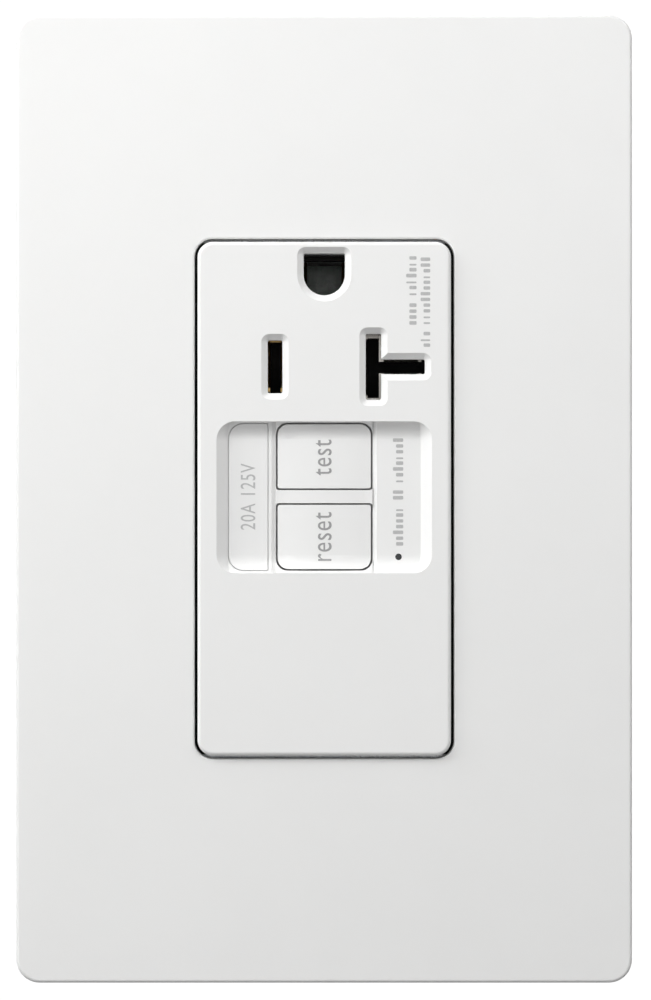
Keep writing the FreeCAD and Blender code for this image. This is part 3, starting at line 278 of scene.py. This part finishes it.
def lacquer(name, colour, spot, rough=(0.16, 0.3), coat=0.6, grain=1.2, depth=0.012):
    """A dipped or sleeved coating: glossy, slightly wavy, with pale specks."""
    g = Graph(name)
    specks = g.ramp(g.cells(2600), 0.04, 0.12, 0.5, 0.0)
    g.colour(g.mix(specks, colour, spot))
    g.rough(g.ramp(g.noise(700, 3), 0.3, 0.7, *rough))
    g.bump(g.noise(1000 / grain, 2), depth)
    g.set(Coat_Weight=coat, Coat_Roughness=0.1)
    return g.material


def board_mask():
    """Solder mask over glass cloth: dark and pale green squares of the weave showing faintly through."""
    g = Graph("solder_mask")
    weave = g.combine(g.noise(1600, 1, (1, 1, 0.12)), g.noise(1600, 1, (0.12, 1, 1)), "MULTIPLY")
    g.colour(g.mix(g.ramp(weave, 0.12, 0.4), (0.012, 0.105, 0.040), (0.030, 0.180, 0.075)))
    g.rough(g.ramp(g.noise(900, 3), 0.3, 0.7, 0.24, 0.36))
    g.bump(weave, 0.01)
    g.set(Coat_Weight=0.4, Coat_Roughness=0.15)
    return g.material


def fibre():
    """Pressed vulcanised fibre: brown with darker strands."""
    g = Graph("pressed_fibre")
    strands = g.combine(g.noise(2400, 4, (0.15, 1, 1)), g.noise(2400, 4, (1, 1, 0.15)), "MULTIPLY")
    g.colour(g.mix(g.ramp(strands, 0.15, 0.4), (0.22, 0.115, 0.05), (0.50, 0.31, 0.15)))
    g.rough(g.ramp(g.noise(600, 3), 0.3, 0.7, 0.6, 0.8))
    g.bump(strands, 0.03)
    return g.material


def clear(name, colour, transmission, rough):
    """Clear or tinted moulded plastic with faint flow lines."""
    g = Graph(name)
    g.colour(g.mix(g.noise(300, 3), shade(colour, 0.92), colour))
    g.rough(g.ramp(g.noise(900, 3), 0.3, 0.7, rough * 0.7, rough * 1.4))
    g.bump(g.noise(700, 2), 0.004)
    g.set(Transmission_Weight=transmission, IOR=1.49)
    return g.material


def banded(name, body, bands, centre, along):
    """A small axial part with bands across one axis, each (offset mm, width mm, colour)."""
    g = Graph(name)
    place = g.axis(along)
    paint = g.mix(g.ramp(g.noise(1800, 3), 0.3, 0.7), shade(body, 0.93), shade(body, 1.05))
    for offset, width, colour in bands:
        distance = g.combine(place, (centre + offset) * MM, "SUBTRACT")
        away = g.combine(distance, 0.0, "ABSOLUTE")
        edge = width * MM / 2
        paint = g.mix(g.ramp(away, edge * 1.1, edge * 0.9), paint, colour)
    g.colour(paint)
    g.rough(g.ramp(g.noise(900, 3), 0.3, 0.7, 0.25, 0.4))
    g.bump(g.noise(1500, 2), 0.006)
    g.set(Coat_Weight=0.3)
    return g.material


def ink(name, colour):
    """Pad-printed ink: flat colour broken by the plastic's grain at its edges."""
    g = Graph(name)
    g.colour(g.mix(g.ramp(g.noise(5200, 3), 0.35, 0.7), colour, shade(colour, 1.12)))
    g.rough(g.ramp(g.noise(2500, 3), 0.3, 0.7, 0.45, 0.6))
    g.bump(g.noise(3000, 2), 0.003)
    return g.material


WHITE = (0.80, 0.80, 0.792)
MATERIALS = {
    "plate_white": plastic("plate_white", WHITE, (0.36, 0.44), 0.5, 0.0035, 0.006, 0.04),
    "face_white": plastic("face_white", WHITE, (0.33, 0.42), 0.45, 0.0035, 0.006, 0.04),
    "button_white": plastic("button_white", WHITE, (0.30, 0.40), 0.45, 0.003, 0.006, 0.04),
    "label_white": plastic("label_white", (0.785, 0.785, 0.778), (0.30, 0.38), 0.45, 0.003, 0.006, 0.03),
    "sub_plate_white": plastic("sub_plate_white", (0.76, 0.76, 0.745), (0.45, 0.58), 0.3, 0.012, 0.02),
    "back_white": plastic("back_white", (0.74, 0.74, 0.72), (0.46, 0.60), 0.28, 0.016, 0.02, 0.03),
    "separator_black": plastic("separator_black", (0.012, 0.012, 0.013), (0.45, 0.6), 0.3, 0.012, 0.25,
                               specular=0.3),
    "mechanism_white": plastic("mechanism_white", (0.78, 0.76, 0.70), (0.40, 0.52), 0.3, 0.008, 0.03, 0.15),
    "bobbin_nylon": plastic("bobbin_nylon", (0.66, 0.62, 0.50), (0.38, 0.5), 0.3, 0.008, 0.03, 0.15),
    "chip_black": plastic("chip_black", (0.018, 0.018, 0.02), (0.45, 0.6), 0.12, 0.010, 0.2),
    "zinc_steel": metal("zinc_steel", (0.70, 0.71, 0.72), (0.62, 0.66, 0.74), (0.24, 0.42)),
    "screw_steel": metal("screw_steel", (0.66, 0.67, 0.69), (0.70, 0.66, 0.56), (0.20, 0.34), "Y"),
    "spring_steel": metal("spring_steel", (0.56, 0.56, 0.57), (0.48, 0.47, 0.50), (0.2, 0.32), "X"),
    "nickel": metal("nickel", (0.50, 0.48, 0.45), (0.42, 0.39, 0.34), (0.24, 0.38)),
    "brass": metal("brass", (0.66, 0.46, 0.20), (0.50, 0.31, 0.13), (0.24, 0.40)),
    "brass_screw": metal("brass_screw", (0.84, 0.62, 0.27), (0.70, 0.46, 0.19), (0.18, 0.32), "X"),
    "green_steel": metal("green_steel", (0.05, 0.30, 0.13), (0.10, 0.38, 0.22), (0.22, 0.38), "X"),
    "core_grey": lacquer("core_grey", (0.10, 0.115, 0.13), (0.2, 0.22, 0.24), (0.3, 0.45), 0.2),
    "varistor_blue": lacquer("varistor_blue", (0.02, 0.09, 0.36), (0.16, 0.28, 0.62)),
    "capacitor_yellow": lacquer("capacitor_yellow", (0.70, 0.47, 0.05), (0.86, 0.70, 0.26),
                                (0.22, 0.34), 0.3),
    "can_black": banded("can_black", (0.02, 0.02, 0.03), [(1.9, 1.2, (0.62, 0.62, 0.60))], -10.5, "X"),
    "insulated_white": lacquer("insulated_white", (0.74, 0.74, 0.70), (0.84, 0.84, 0.82), (0.3, 0.42), 0.1),
    "insulated_black": lacquer("insulated_black", (0.02, 0.02, 0.02), (0.06, 0.06, 0.06), (0.3, 0.42), 0.1),
    "enamel_copper": lacquer("enamel_copper", (0.42, 0.15, 0.05), (0.60, 0.28, 0.11), (0.16, 0.28), 0.5),
    "small_tan": banded("small_tan", (0.50, 0.36, 0.20), [(-5.1, 0.6, (0.02, 0.02, 0.02)),
                        (6.9, 0.35, (0.30, 0.05, 0.03)), (8.0, 0.35, (0.03, 0.03, 0.03)),
                        (9.1, 0.35, (0.60, 0.42, 0.06))], 0.0, "X"),
    "board_green": board_mask(),
    "fibre": fibre(),
    "light_guide": clear("light_guide", (0.030, 0.032, 0.034), 0.15, 0.22),
    "led_red": clear("led_red", (0.55, 0.03, 0.02), 0.6, 0.12),
}
LEGEND = ink("legend_grey", (0.30, 0.30, 0.30))
PALE_INK = ink("pale_ink", (0.43, 0.43, 0.43))
DARK_INK = ink("dark_ink", (0.10, 0.10, 0.10))
SOLDER = metal("solder", (0.62, 0.62, 0.63), (0.50, 0.50, 0.52), (0.22, 0.4), "X")
TRACE = lacquer("covered_copper", (0.035, 0.24, 0.10), (0.06, 0.30, 0.14), (0.2, 0.3), 0.4)
PAPER = plastic("label_paper", (0.72, 0.72, 0.70), (0.5, 0.62), 0.2, 0.006, 0.02)


SLOT_OF = {entry["node"]: entry["material_slot"] for entry in frame["record"]["subparts"]}


def dress_nodes():
    """Every CAD node takes the material of its slot."""
    for node, slot in SLOT_OF.items():
        materials = NODES[node].data.materials
        materials.clear()
        materials.append(MATERIALS[slot])


# ---------------------------------------------------------------- mesh helpers
def finish_piece(bm, name, body, material, smooth=35):
    """Turns a bmesh in millimetres into a piece that rides on a body."""
    bmesh.ops.scale(bm, vec=(MM, MM, MM), verts=bm.verts)
    bmesh.ops.recalc_face_normals(bm, faces=bm.faces)
    mesh = bpy.data.meshes.new(name)
    bm.to_mesh(mesh)
    bm.free()
    obj = bpy.data.objects.new(name, mesh)
    bpy.context.scene.collection.objects.link(obj)
    mesh.materials.append(material)
    mesh.shade_smooth()
    mesh.set_sharp_from_angle(angle=math.radians(smooth))
    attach(obj, body)
    return obj


def merge(bm, part, matrix):
    """Adds one bmesh to another, placed by a matrix."""
    bmesh.ops.transform(part, matrix=matrix, verts=part.verts)
    mesh = bpy.data.meshes.new("part")
    part.to_mesh(mesh)
    part.free()
    bm.from_mesh(mesh)
    bpy.data.meshes.remove(mesh)


def sweep(bm, rings, loop=False):
    """Skins a list of rings, each a list of points, into a closed tube, or into a ring of them."""
    made = [[bm.verts.new(p) for p in ring] for ring in rings]
    count = len(made[0])
    last = len(made) if loop else len(made) - 1
    for i in range(last):
        a, b = made[i], made[(i + 1) % len(made)]
        for j in range(count):
            k = (j + 1) % count
            bm.faces.new((a[j], a[k], b[k], b[j]))
    if not loop:
        bm.faces.new(made[0][::-1])
        bm.faces.new(made[-1])


def panel_skin(x, z, crowned):
    """Depth of the control panel's skin at (x, z), in mm; the buttons' is crowned across."""
    y = PANEL_Y
    if crowned:
        bend = (CROWN_X ** 2 + CROWN_RISE ** 2) / (2 * CROWN_RISE)
        y = CROWN_MID + bend - math.sqrt(bend ** 2 - x ** 2)
    past = max(z - PANEL_Z1, PANEL_Z0 - z, 0.0)
    return HUB_Y + math.sqrt((y - HUB_Y) ** 2 - past ** 2)


def button_skin(x, z):
    return panel_skin(x, z, True)


def strip_skin(x, z):
    return panel_skin(x, z, False)


def flat_text(text, spacing=1.0):
    """A filled bmesh of one line of text in the x, y plane, scaled to a unit box."""
    curve = bpy.data.curves.new("line", "FONT")
    curve.body = text
    curve.space_character = spacing
    curve.resolution_u = 6
    holder = bpy.data.objects.new("line", curve)
    bpy.context.scene.collection.objects.link(holder)
    bpy.context.view_layer.update()
    mesh = bpy.data.meshes.new_from_object(holder.evaluated_get(bpy.context.evaluated_depsgraph_get()))
    bm = bmesh.new()
    bm.from_mesh(mesh)
    bpy.data.objects.remove(holder)
    bpy.data.curves.remove(curve)
    bpy.data.meshes.remove(mesh)
    bmesh.ops.remove_doubles(bm, verts=bm.verts, dist=1e-5)
    low = [min(v.co[i] for v in bm.verts) for i in range(2)]
    high = [max(v.co[i] for v in bm.verts) for i in range(2)]
    for v in bm.verts:
        v.co.x = (v.co.x - low[0]) / (high[0] - low[0])
        v.co.y = (v.co.y - low[1]) / (high[1] - low[1])
    return bm


def emboss(bm, place, proud=0.03, sunk=0.05):
    """Lays a flat bmesh on a surface: place maps its x, y and a height in mm to a point."""
    made = bmesh.ops.extrude_face_region(bm, geom=bm.faces[:])
    top = {v for v in made["geom"] if isinstance(v, bmesh.types.BMVert)}
    for v in bm.verts:
        v.co = Vector(place(v.co.x, v.co.y, proud if v in top else -sunk))


def upright(x_base, x_top, z0, z1, skin):
    """Text that reads bottom to top: its line runs from z0 up to z1, its feet are at x_base."""
    def place(u, v, height):
        x = x_base + (x_top - x_base) * v
        z = z0 + (z1 - z0) * u
        return (x, skin(x, z) - height, z)
    return place


def legend(name, text, box, skin, body, material):
    """A word on a curved skin, cut finely enough to follow it; box is upright's four places."""
    bm = flat_text(text, LETTER_SPACE)
    for _ in range(2):
        long = [e for e in bm.edges if e.calc_length() > LETTER_CUT]
        bmesh.ops.subdivide_edges(bm, edges=long, cuts=1, use_grid_fill=False)
    bmesh.ops.triangulate(bm, faces=bm.faces)
    emboss(bm, upright(*box, skin), 0.02)
    return finish_piece(bm, name, body, material, 50)


def rounded(x0, x1, z0, z1, r, steps=3):
    """Corner points of a rounded rectangle."""
    r = min(r, (x1 - x0) / 2, (z1 - z0) / 2)
    centres = ((x1 - r, z1 - r, 0), (x0 + r, z1 - r, 90), (x0 + r, z0 + r, 180), (x1 - r, z0 + r, 270))
    points = []
    for cx, cz, start in centres:
        for i in range(steps + 1):
            a = math.radians(start + 90 * i / steps)
            points.append((cx + r * math.cos(a), cz + r * math.sin(a)))
    return points


def pad(bm, points, surface, proud, sunk=0.05):
    """A thin raised patch over a surface: surface(x, z, height) gives the point."""
    sweep(bm, [[surface(x, z, h) for x, z in points] for h in (-sunk, proud)])


def word_marks(bm, words, x_base, x_size, z0, z1, surface, seed):
    """Stand-in for a printed line: one small block for each letter, grouped into words.

    x_base is the feet of the letters and x_size the line's height; the line runs from z0 to z1.
    """
    heights, widths = (0.66, 0.66, 0.66, 0.95), (0.30, 0.58, 0.62)   # shares of x_size and of the pitch
    draw = random.Random(seed)
    letters = sum(words) + len(words) - 1
    pitch = (z1 - z0) / letters
    z = z0
    for word in words:
        for _ in range(word):
            tall = x_size * draw.choice(heights)
            wide = pitch * draw.choice(widths)
            pad(bm, rounded(x_base - tall, x_base, z, z + wide, 0.12), surface, 0.012)
            z += pitch
        z += pitch


# ---------------------------------------------------------------- legends
LETTER_SPACE, LETTER_CUT = 1.1, 0.12         # spacing; an edge over this share of the word's box is cut
# where each word stands, mm: its feet and its top in x, its start and its end in z
TEST_BOX = (0.95, -1.14, 3.02, 7.64)
RESET_BOX = (0.95, -1.14, -8.02, -1.72)
RATING_BOX = (-8.90, -10.80, -4.0, 4.55)


def add_legends():
    legend("test_legend", "test", TEST_BOX, button_skin, "test_key", LEGEND)
    legend("reset_legend", "reset", RESET_BOX, button_skin, "reset_key", LEGEND)
    legend("rating_legend", "20A 125V", RATING_BOX, strip_skin, "device", PALE_INK)

    def on_panel(x, z, height):
        return (x, strip_skin(x, z) - height, z)

    def on_face(x, z, height):
        return (x, FACE_Y - height, z)

    bm = bmesh.new()
    word_marks(bm, (7, 2, 8), 10.20, 1.40, -6.05, 8.10, on_panel, 3)
    finish_piece(bm, "panel_marks", "device", PALE_INK)
    bm = bmesh.new()
    word_marks(bm, (4, 7), 11.90, 1.40, 22.45, 31.60, on_face, 5)
    word_marks(bm, (3, 12), 13.66, 1.30, 19.60, 31.40, on_face, 8)
    finish_piece(bm, "face_marks", "device", PALE_INK)


# ---------------------------------------------------------------- screws with real threads
def turned(bm, profile, steps=40):
    """A closed solid of revolution about +Y from (radius, y) points, ends on the axis."""
    rings = []
    for r, y in profile:
        rings.append([(r * math.cos(2 * math.pi * i / steps), y, r * math.sin(2 * math.pi * i / steps))
                      for i in range(steps)])
    sweep(bm, rings)


def thread(bm, y0, y1, root, crest, pitch, steps=28):
    """A closed helical ridge about +Y that grows out of the core at both ends.

    foot and tip are half the ridge's width at its foot and its tip, as shares of the pitch.
    """
    foot, tip, sunk, run_in = 0.46, 0.08, 0.12, 0.6 * steps
    total = int(((y1 - y0) / pitch - 1) * steps)
    rings = []
    for i in range(total + 1):
        a = 2 * math.pi * i / steps
        y = y0 + pitch * (0.5 + i / steps)
        fade = min(1.0, i / run_in, (total - i) / run_in)
        top = root + (crest - root) * max(fade, 0.02)
        ring = []
        for r, dy in ((root - sunk, -foot), (top, -tip), (top, tip), (root - sunk, foot)):
            ring.append((r * math.cos(a), y + dy * pitch, r * math.sin(a)))
        rings.append(ring)
    sweep(bm, rings)


def copy_of(node):
    """A CAD node's mesh as a bmesh in millimetres."""
    bm = bmesh.new()
    bm.from_mesh(NODES[node].data)
    bmesh.ops.scale(bm, vec=(1 / MM,) * 3, verts=bm.verts)
    bmesh.ops.remove_doubles(bm, verts=bm.verts, dist=1e-4)
    return bm


def head_of(node, plane_point, plane_normal):
    """The part of a CAD node in front of a plane, as a closed bmesh in millimetres."""
    bm = copy_of(node)
    cut = bmesh.ops.bisect_plane(bm, geom=bm.verts[:] + bm.edges[:] + bm.faces[:], dist=1e-5,
                                 plane_co=plane_point, plane_no=plane_normal, clear_outer=True)
    rim = [e for e in cut["geom_cut"] if isinstance(e, bmesh.types.BMEdge)]
    bmesh.ops.holes_fill(bm, edges=rim)
    return bm


def threaded_screw(name, node, body, spots, turn, plane, core, span, crest=SCREW_CREST, root=SCREW_ROOT,
                   neck=None):
    """Replaces a screw node by its own head on a threaded shank.

    spots are the places of its axes, turn takes +Y to the shank's direction, plane is where the head
    ends, core the shank's start and end, and span the thread's start and end, along that direction.
    neck is the radius of a plain stretch between head and thread.
    """
    taper, tip = 0.5, 0.7 * root             # the shank's last stretch and the radius that it ends on
    axis = turn @ Vector((0, 1, 0))
    bm = head_of(node, axis * plane, axis)
    for spot in spots:
        part = bmesh.new()
        start, end = core
        turned(part, [(root, start), (root, end - taper), (tip, end)])
        if neck:
            turned(part, [(neck, start), (neck, span[0] - 0.15), (root, span[0] + 0.05)])
        thread(part, *span, root, crest, SCREW_PITCH)
        merge(bm, part, Matrix.Translation(spot) @ turn.to_4x4())
    obj = finish_piece(bm, name, body, MATERIALS[SLOT_OF[node]], 40)
    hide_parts(node)


def add_screws():
    along_y = Matrix.Identity(3)
    # plane, core and span below are mm along each screw, on the CAD's own axes
    threaded_screw("device_screws_threaded", "mounting_screws", "device",
                   [(0, 0, SCREW_Z), (0, 0, -SCREW_Z)], along_y, -1.55, (-1.7, 22.0), (0.63, 21.6),
                   neck=SCREW_NECK)
    threaded_screw("plate_screws_threaded", "sub_plate_screws", "device",
                   [(0, 0, COVER_SCREW_Z), (0, 0, -COVER_SCREW_Z)], along_y, -1.78, (-1.9, 4.0), (-1.7, 3.8))
    right = Matrix.Rotation(math.radians(-90), 3, "Z")
    left = Matrix.Rotation(math.radians(90), 3, "Z")
    for side, z in (("load", TERM_Z), ("line", -TERM_Z)):
        for pole, turn in (("hot", right), ("neutral", left)):
            threaded_screw(f"{side}_{pole}_screw_threaded", f"{side}_{pole}_screw",
                           f"{side}_{pole}_terminal_screw", [(0, TERM_Y, z)], turn,
                           -21.25, (-21.4, -16.45), (-21.2, -16.6), TERM_CREST, TERM_ROOT)
    threaded_screw("ground_screw_threaded", "ground_screw", "ground_terminal_screw",
                   [GROUND_SCREW], right, -17.65, (-17.8, -11.4), (-17.6, -11.7))


# ---------------------------------------------------------------- springs
def add_springs():
    """The coil springs become pieces of their own, copied from their CAD nodes, which are hidden."""
    for node, joint, axis in (("reset_spring", "reset_press", (0, 1, 0)),
                              ("plunger_spring", "plunger_strike", (0, 0, 1))):
        slot = SLOT_OF[node]
        coil = finish_piece(copy_of(node), f"{node}_coil", "device", MATERIALS[slot])
        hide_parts(node)
        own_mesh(coil)


# ---------------------------------------------------------------- windings
def ring_points(centre, u, v, radius, steps):
    return [centre + u * (radius * math.cos(2 * math.pi * i / steps))
            + v * (radius * math.sin(2 * math.pi * i / steps)) for i in range(steps)]


def loop_tube(bm, points, radius, steps=6):
    """A closed tube along a closed list of points."""
    rings, count = [], len(points)
    for i, p in enumerate(points):
        ahead = (points[(i + 1) % count] - points[i - 1]).normalized()
        side = ahead.cross(Vector((0.3, 0.9, 0.2))).normalized()
        rings.append(ring_points(p, side, ahead.cross(side), radius, steps))
    sweep(bm, rings, loop=True)


def add_windings():
    """Every turn of wire is a closed ring, on the solenoid's bobbin and on both sensing cores."""
    enamel = MATERIALS["enamel_copper"]
    wire, core_wire = 0.155, 0.075           # radii
    bm = bmesh.new()
    turned(bm, [(SOLENOID_R, z) for z in SOLENOID_Z])
    bmesh.ops.transform(bm, matrix=Matrix.Rotation(math.radians(90), 4, "X"), verts=bm.verts)
    z = SOLENOID_Z[0] + 0.15
    while z < SOLENOID_Z[1] - 0.05:
        loop_tube(bm, ring_points(Vector((0, 0, z)), Vector((1, 0, 0)), Vector((0, 1, 0)),
                                  SOLENOID_R + 0.02, 48), wire)
        z += 2 * wire
    bmesh.ops.translate(bm, vec=(0, SOLENOID_Y, 0), verts=bm.verts)
    coil = finish_piece(bm, "solenoid_turns", "device", enamel)
    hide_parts("solenoid_winding")
    # the turns' front and rear, and how many there are
    for name, y0, y1, count in (("neutral_core_turns", 12.72, 16.48, 48),
                                ("sense_core_turns", 16.82, 20.58, 84)):
        bm = bmesh.new()
        section = rounded(*CORE_R, y0, y1, 0.85)
        for i in range(count):
            a = 2 * math.pi * i / count
            out = Vector((math.cos(a), 0, math.sin(a)))
            loop_tube(bm, [Vector((0, y, CORE_Z)) + out * r for r, y in section], core_wire, 5)
        finish_piece(bm, name, "device", enamel)


# ---------------------------------------------------------------- circuit board detail
# where the leads of the board's parts come through, (x, z) in mm
LEADS = [(10.6, -23.8), (10.6, -18.4), (-11.5, -21.6), (-9.5, -21.6), (-12.6, -10.1), (-11.0, -5.1),
         (-11.4, 0.7), (-11.4, 2.0), (-11.4, 3.3), (12.7, 7.4), (12.7, 15.4)]
for middle, reach, rows in ((-3.6, 3.2, (0.4, -3.2, -6.6, -10.0)), (4.4, 2.8, (-10.6, -7.8, -5.0, -2.2))):
    for row in rows:
        LEADS += [(middle - reach, row), (middle + reach, row)]
SOLDER_CONE = [(0.75, 0.0), (0.72, 0.06), (0.42, 0.30), (0.30, 0.85), (0.18, 0.95)]   # radius, height


def add_board_detail():
    """Covered copper tracks between the leads, and a solder cone on every lead."""
    def rear(x, z, height):
        return (x, BOARD_BACK + height, z)

    bm = bmesh.new()
    draw = random.Random(11)
    for i, (x, z) in enumerate(LEADS):
        other = LEADS[(i * 5 + 3) % len(LEADS)]
        knee = x if draw.random() < 0.5 else other[0]
        width = draw.choice((0.25, 0.25, 0.5))
        for (xa, za), (xb, zb) in (((x, z), (knee, z)), ((knee, z), (knee, other[1])),
                                   ((knee, other[1]), other)):
            if abs(xa - xb) + abs(za - zb) < 0.01:
                continue
            low_x, high_x = min(xa, xb) - width, max(xa, xb) + width
            low_z, high_z = min(za, zb) - width, max(za, zb) + width
            # heights differ a little from track to track, so that few faces coincide where they cross
            pad(bm, rounded(low_x, high_x, low_z, high_z, width), rear, 0.035 + 0.001 * (i % 7))
    finish_piece(bm, "board_tracks", "device", TRACE)
    bm = bmesh.new()
    for x, z in LEADS:
        part = bmesh.new()
        turned(part, SOLDER_CONE, 20)
        merge(bm, part, Matrix.Translation((x, BOARD_BACK, z)))
    finish_piece(bm, "solder_joints", "device", SOLDER)


# ---------------------------------------------------------------- back of the body
# a line of text: its middle in z, its width and its height, mm
LOAD_NAME, LINE_NAME, RATING = (23.6, 8.4, 2.2), (-23.6, 8.4, 2.2), (14.6, 15.5, 2.0)
PRINT = (0.015, 0.03)                        # how far printed marks stand out, and how far they sink in
ROWS, ROW_TOP, ROW_STEP, ROW_TALL = 9, 10.6, 3.1, 1.0   # rows of blocks on the label
ROW_SIDE, ROW_STOP, ROW_GAP = 8.6, -7.0, 0.9            # a row's side, how far on a block may start, gaps
RULE_SIDE, RULE_Z, RULE_HALF = 8.9, 17.2, 0.12          # the label's two long rules
GAUGE_X, GAUGE_END, GAUGE_FOOT, RIB_HALF = 15.6, 6.0, 1.2, 0.25   # strip gauges


def add_back_marks():
    """Raised terminal names, strip gauges and a plain rating label, read from behind."""
    def flat(y):
        return lambda x, z, height: (x, y + height, z)

    def behind(cz, wide, tall, y):
        return lambda u, v, height: (wide / 2 - wide * u, y + height, cz - tall / 2 + tall * v)

    for name, text, box in (("load_mark", "LOAD", LOAD_NAME), ("line_mark", "LINE", LINE_NAME)):
        bm = flat_text(text, LETTER_SPACE)
        emboss(bm, behind(*box, BODY_BACK), 0.30, 0.08)
        finish_piece(bm, name, "device", MATERIALS["back_white"], 50)
    label_y = BODY_BACK - LABEL_DEEP
    bm = bmesh.new()
    pad(bm, rounded(-LABEL_X, LABEL_X, -LABEL_Z, LABEL_Z, 0.9), flat(label_y), LABEL_THICK, 0.0)
    finish_piece(bm, "rating_label", "device", PAPER)
    face_y = label_y + LABEL_THICK
    bm = flat_text("20A 125V 60Hz", 1.05)
    emboss(bm, behind(*RATING, face_y), *PRINT)
    finish_piece(bm, "rating_text", "device", DARK_INK, 50)
    bm = bmesh.new()
    draw = random.Random(21)
    on_label = flat(face_y)
    for row in range(ROWS):
        z, x = ROW_TOP - ROW_STEP * row, ROW_SIDE
        while x > ROW_STOP:
            wide = draw.uniform(1.6, 4.2)
            pad(bm, rounded(max(x - wide, -ROW_SIDE), x, z, z + ROW_TALL, 0.25), on_label, *PRINT)
            x -= wide + ROW_GAP
    for z in (-RULE_Z, RULE_Z):
        pad(bm, rounded(-RULE_SIDE, RULE_SIDE, z - RULE_HALF, z + RULE_HALF, 0.1), on_label, *PRINT)
    finish_piece(bm, "label_lines", "device", PALE_INK)
    bm = bmesh.new()
    on_back = flat(BODY_BACK)
    for x in (-GAUGE_X, GAUGE_X):
        pad(bm, rounded(x - RIB_HALF, x + RIB_HALF, -GAUGE_END, GAUGE_END, 0.2), on_back, 0.2, 0.1)
        for z in (-GAUGE_END, GAUGE_END):
            foot = rounded(x - GAUGE_FOOT, x + GAUGE_FOOT, z - RIB_HALF, z + RIB_HALF, 0.2)
            pad(bm, foot, on_back, 0.2, 0.1)
    finish_piece(bm, "strip_gauges", "device", MATERIALS["back_white"])


# ---------------------------------------------------------------- floor
FLOOR_Z, FLOOR_REACH = -0.75, 5.0            # metres; low, so that views from below stay above it
FLOOR_PALE, FLOOR_EVEN = 0.86, 0.8           # its grey as seen, and how far that evens out the shade


def add_floor():
    bm = bmesh.new()
    bmesh.ops.create_circle(bm, cap_ends=True, radius=FLOOR_REACH, segments=96)
    bmesh.ops.translate(bm, vec=(0, 0, FLOOR_Z), verts=bm.verts)
    mesh = bpy.data.meshes.new("studio_floor")
    bm.to_mesh(mesh)
    bm.free()
    obj = bpy.data.objects.new("studio_floor", mesh)
    bpy.context.scene.collection.objects.link(obj)
    g = Graph("floor_paint")
    g.colour(g.mix(g.noise(3, 3), (0.58, 0.58, 0.58), (0.62, 0.62, 0.62)))
    g.rough(g.ramp(g.noise(40, 3), 0.3, 0.7, 0.6, 0.75))
    # seen by the camera it is an even pale grey; the light it throws back is the paint's
    path = g.nodes.new("ShaderNodeLightPath")
    even = g.nodes.new("ShaderNodeEmission")
    even.inputs["Color"].default_value = (FLOOR_PALE, FLOOR_PALE, FLOOR_PALE, 1)
    blend = g.nodes.new("ShaderNodeMixShader")
    g.links.new(g.combine(path.outputs["Is Camera Ray"], FLOOR_EVEN, "MULTIPLY"), blend.inputs["Fac"])
    g.links.new(g.bsdf.outputs[0], blend.inputs[1])
    g.links.new(even.outputs[0], blend.inputs[2])
    g.links.new(blend.outputs[0], g.nodes["Material Output"].inputs["Surface"])
    mesh.materials.append(g.material)


add_camera()
add_lights()
add_world()
dress_nodes()
add_legends()
add_screws()
add_springs()
add_windings()
add_board_detail()
add_back_marks()
add_floor()
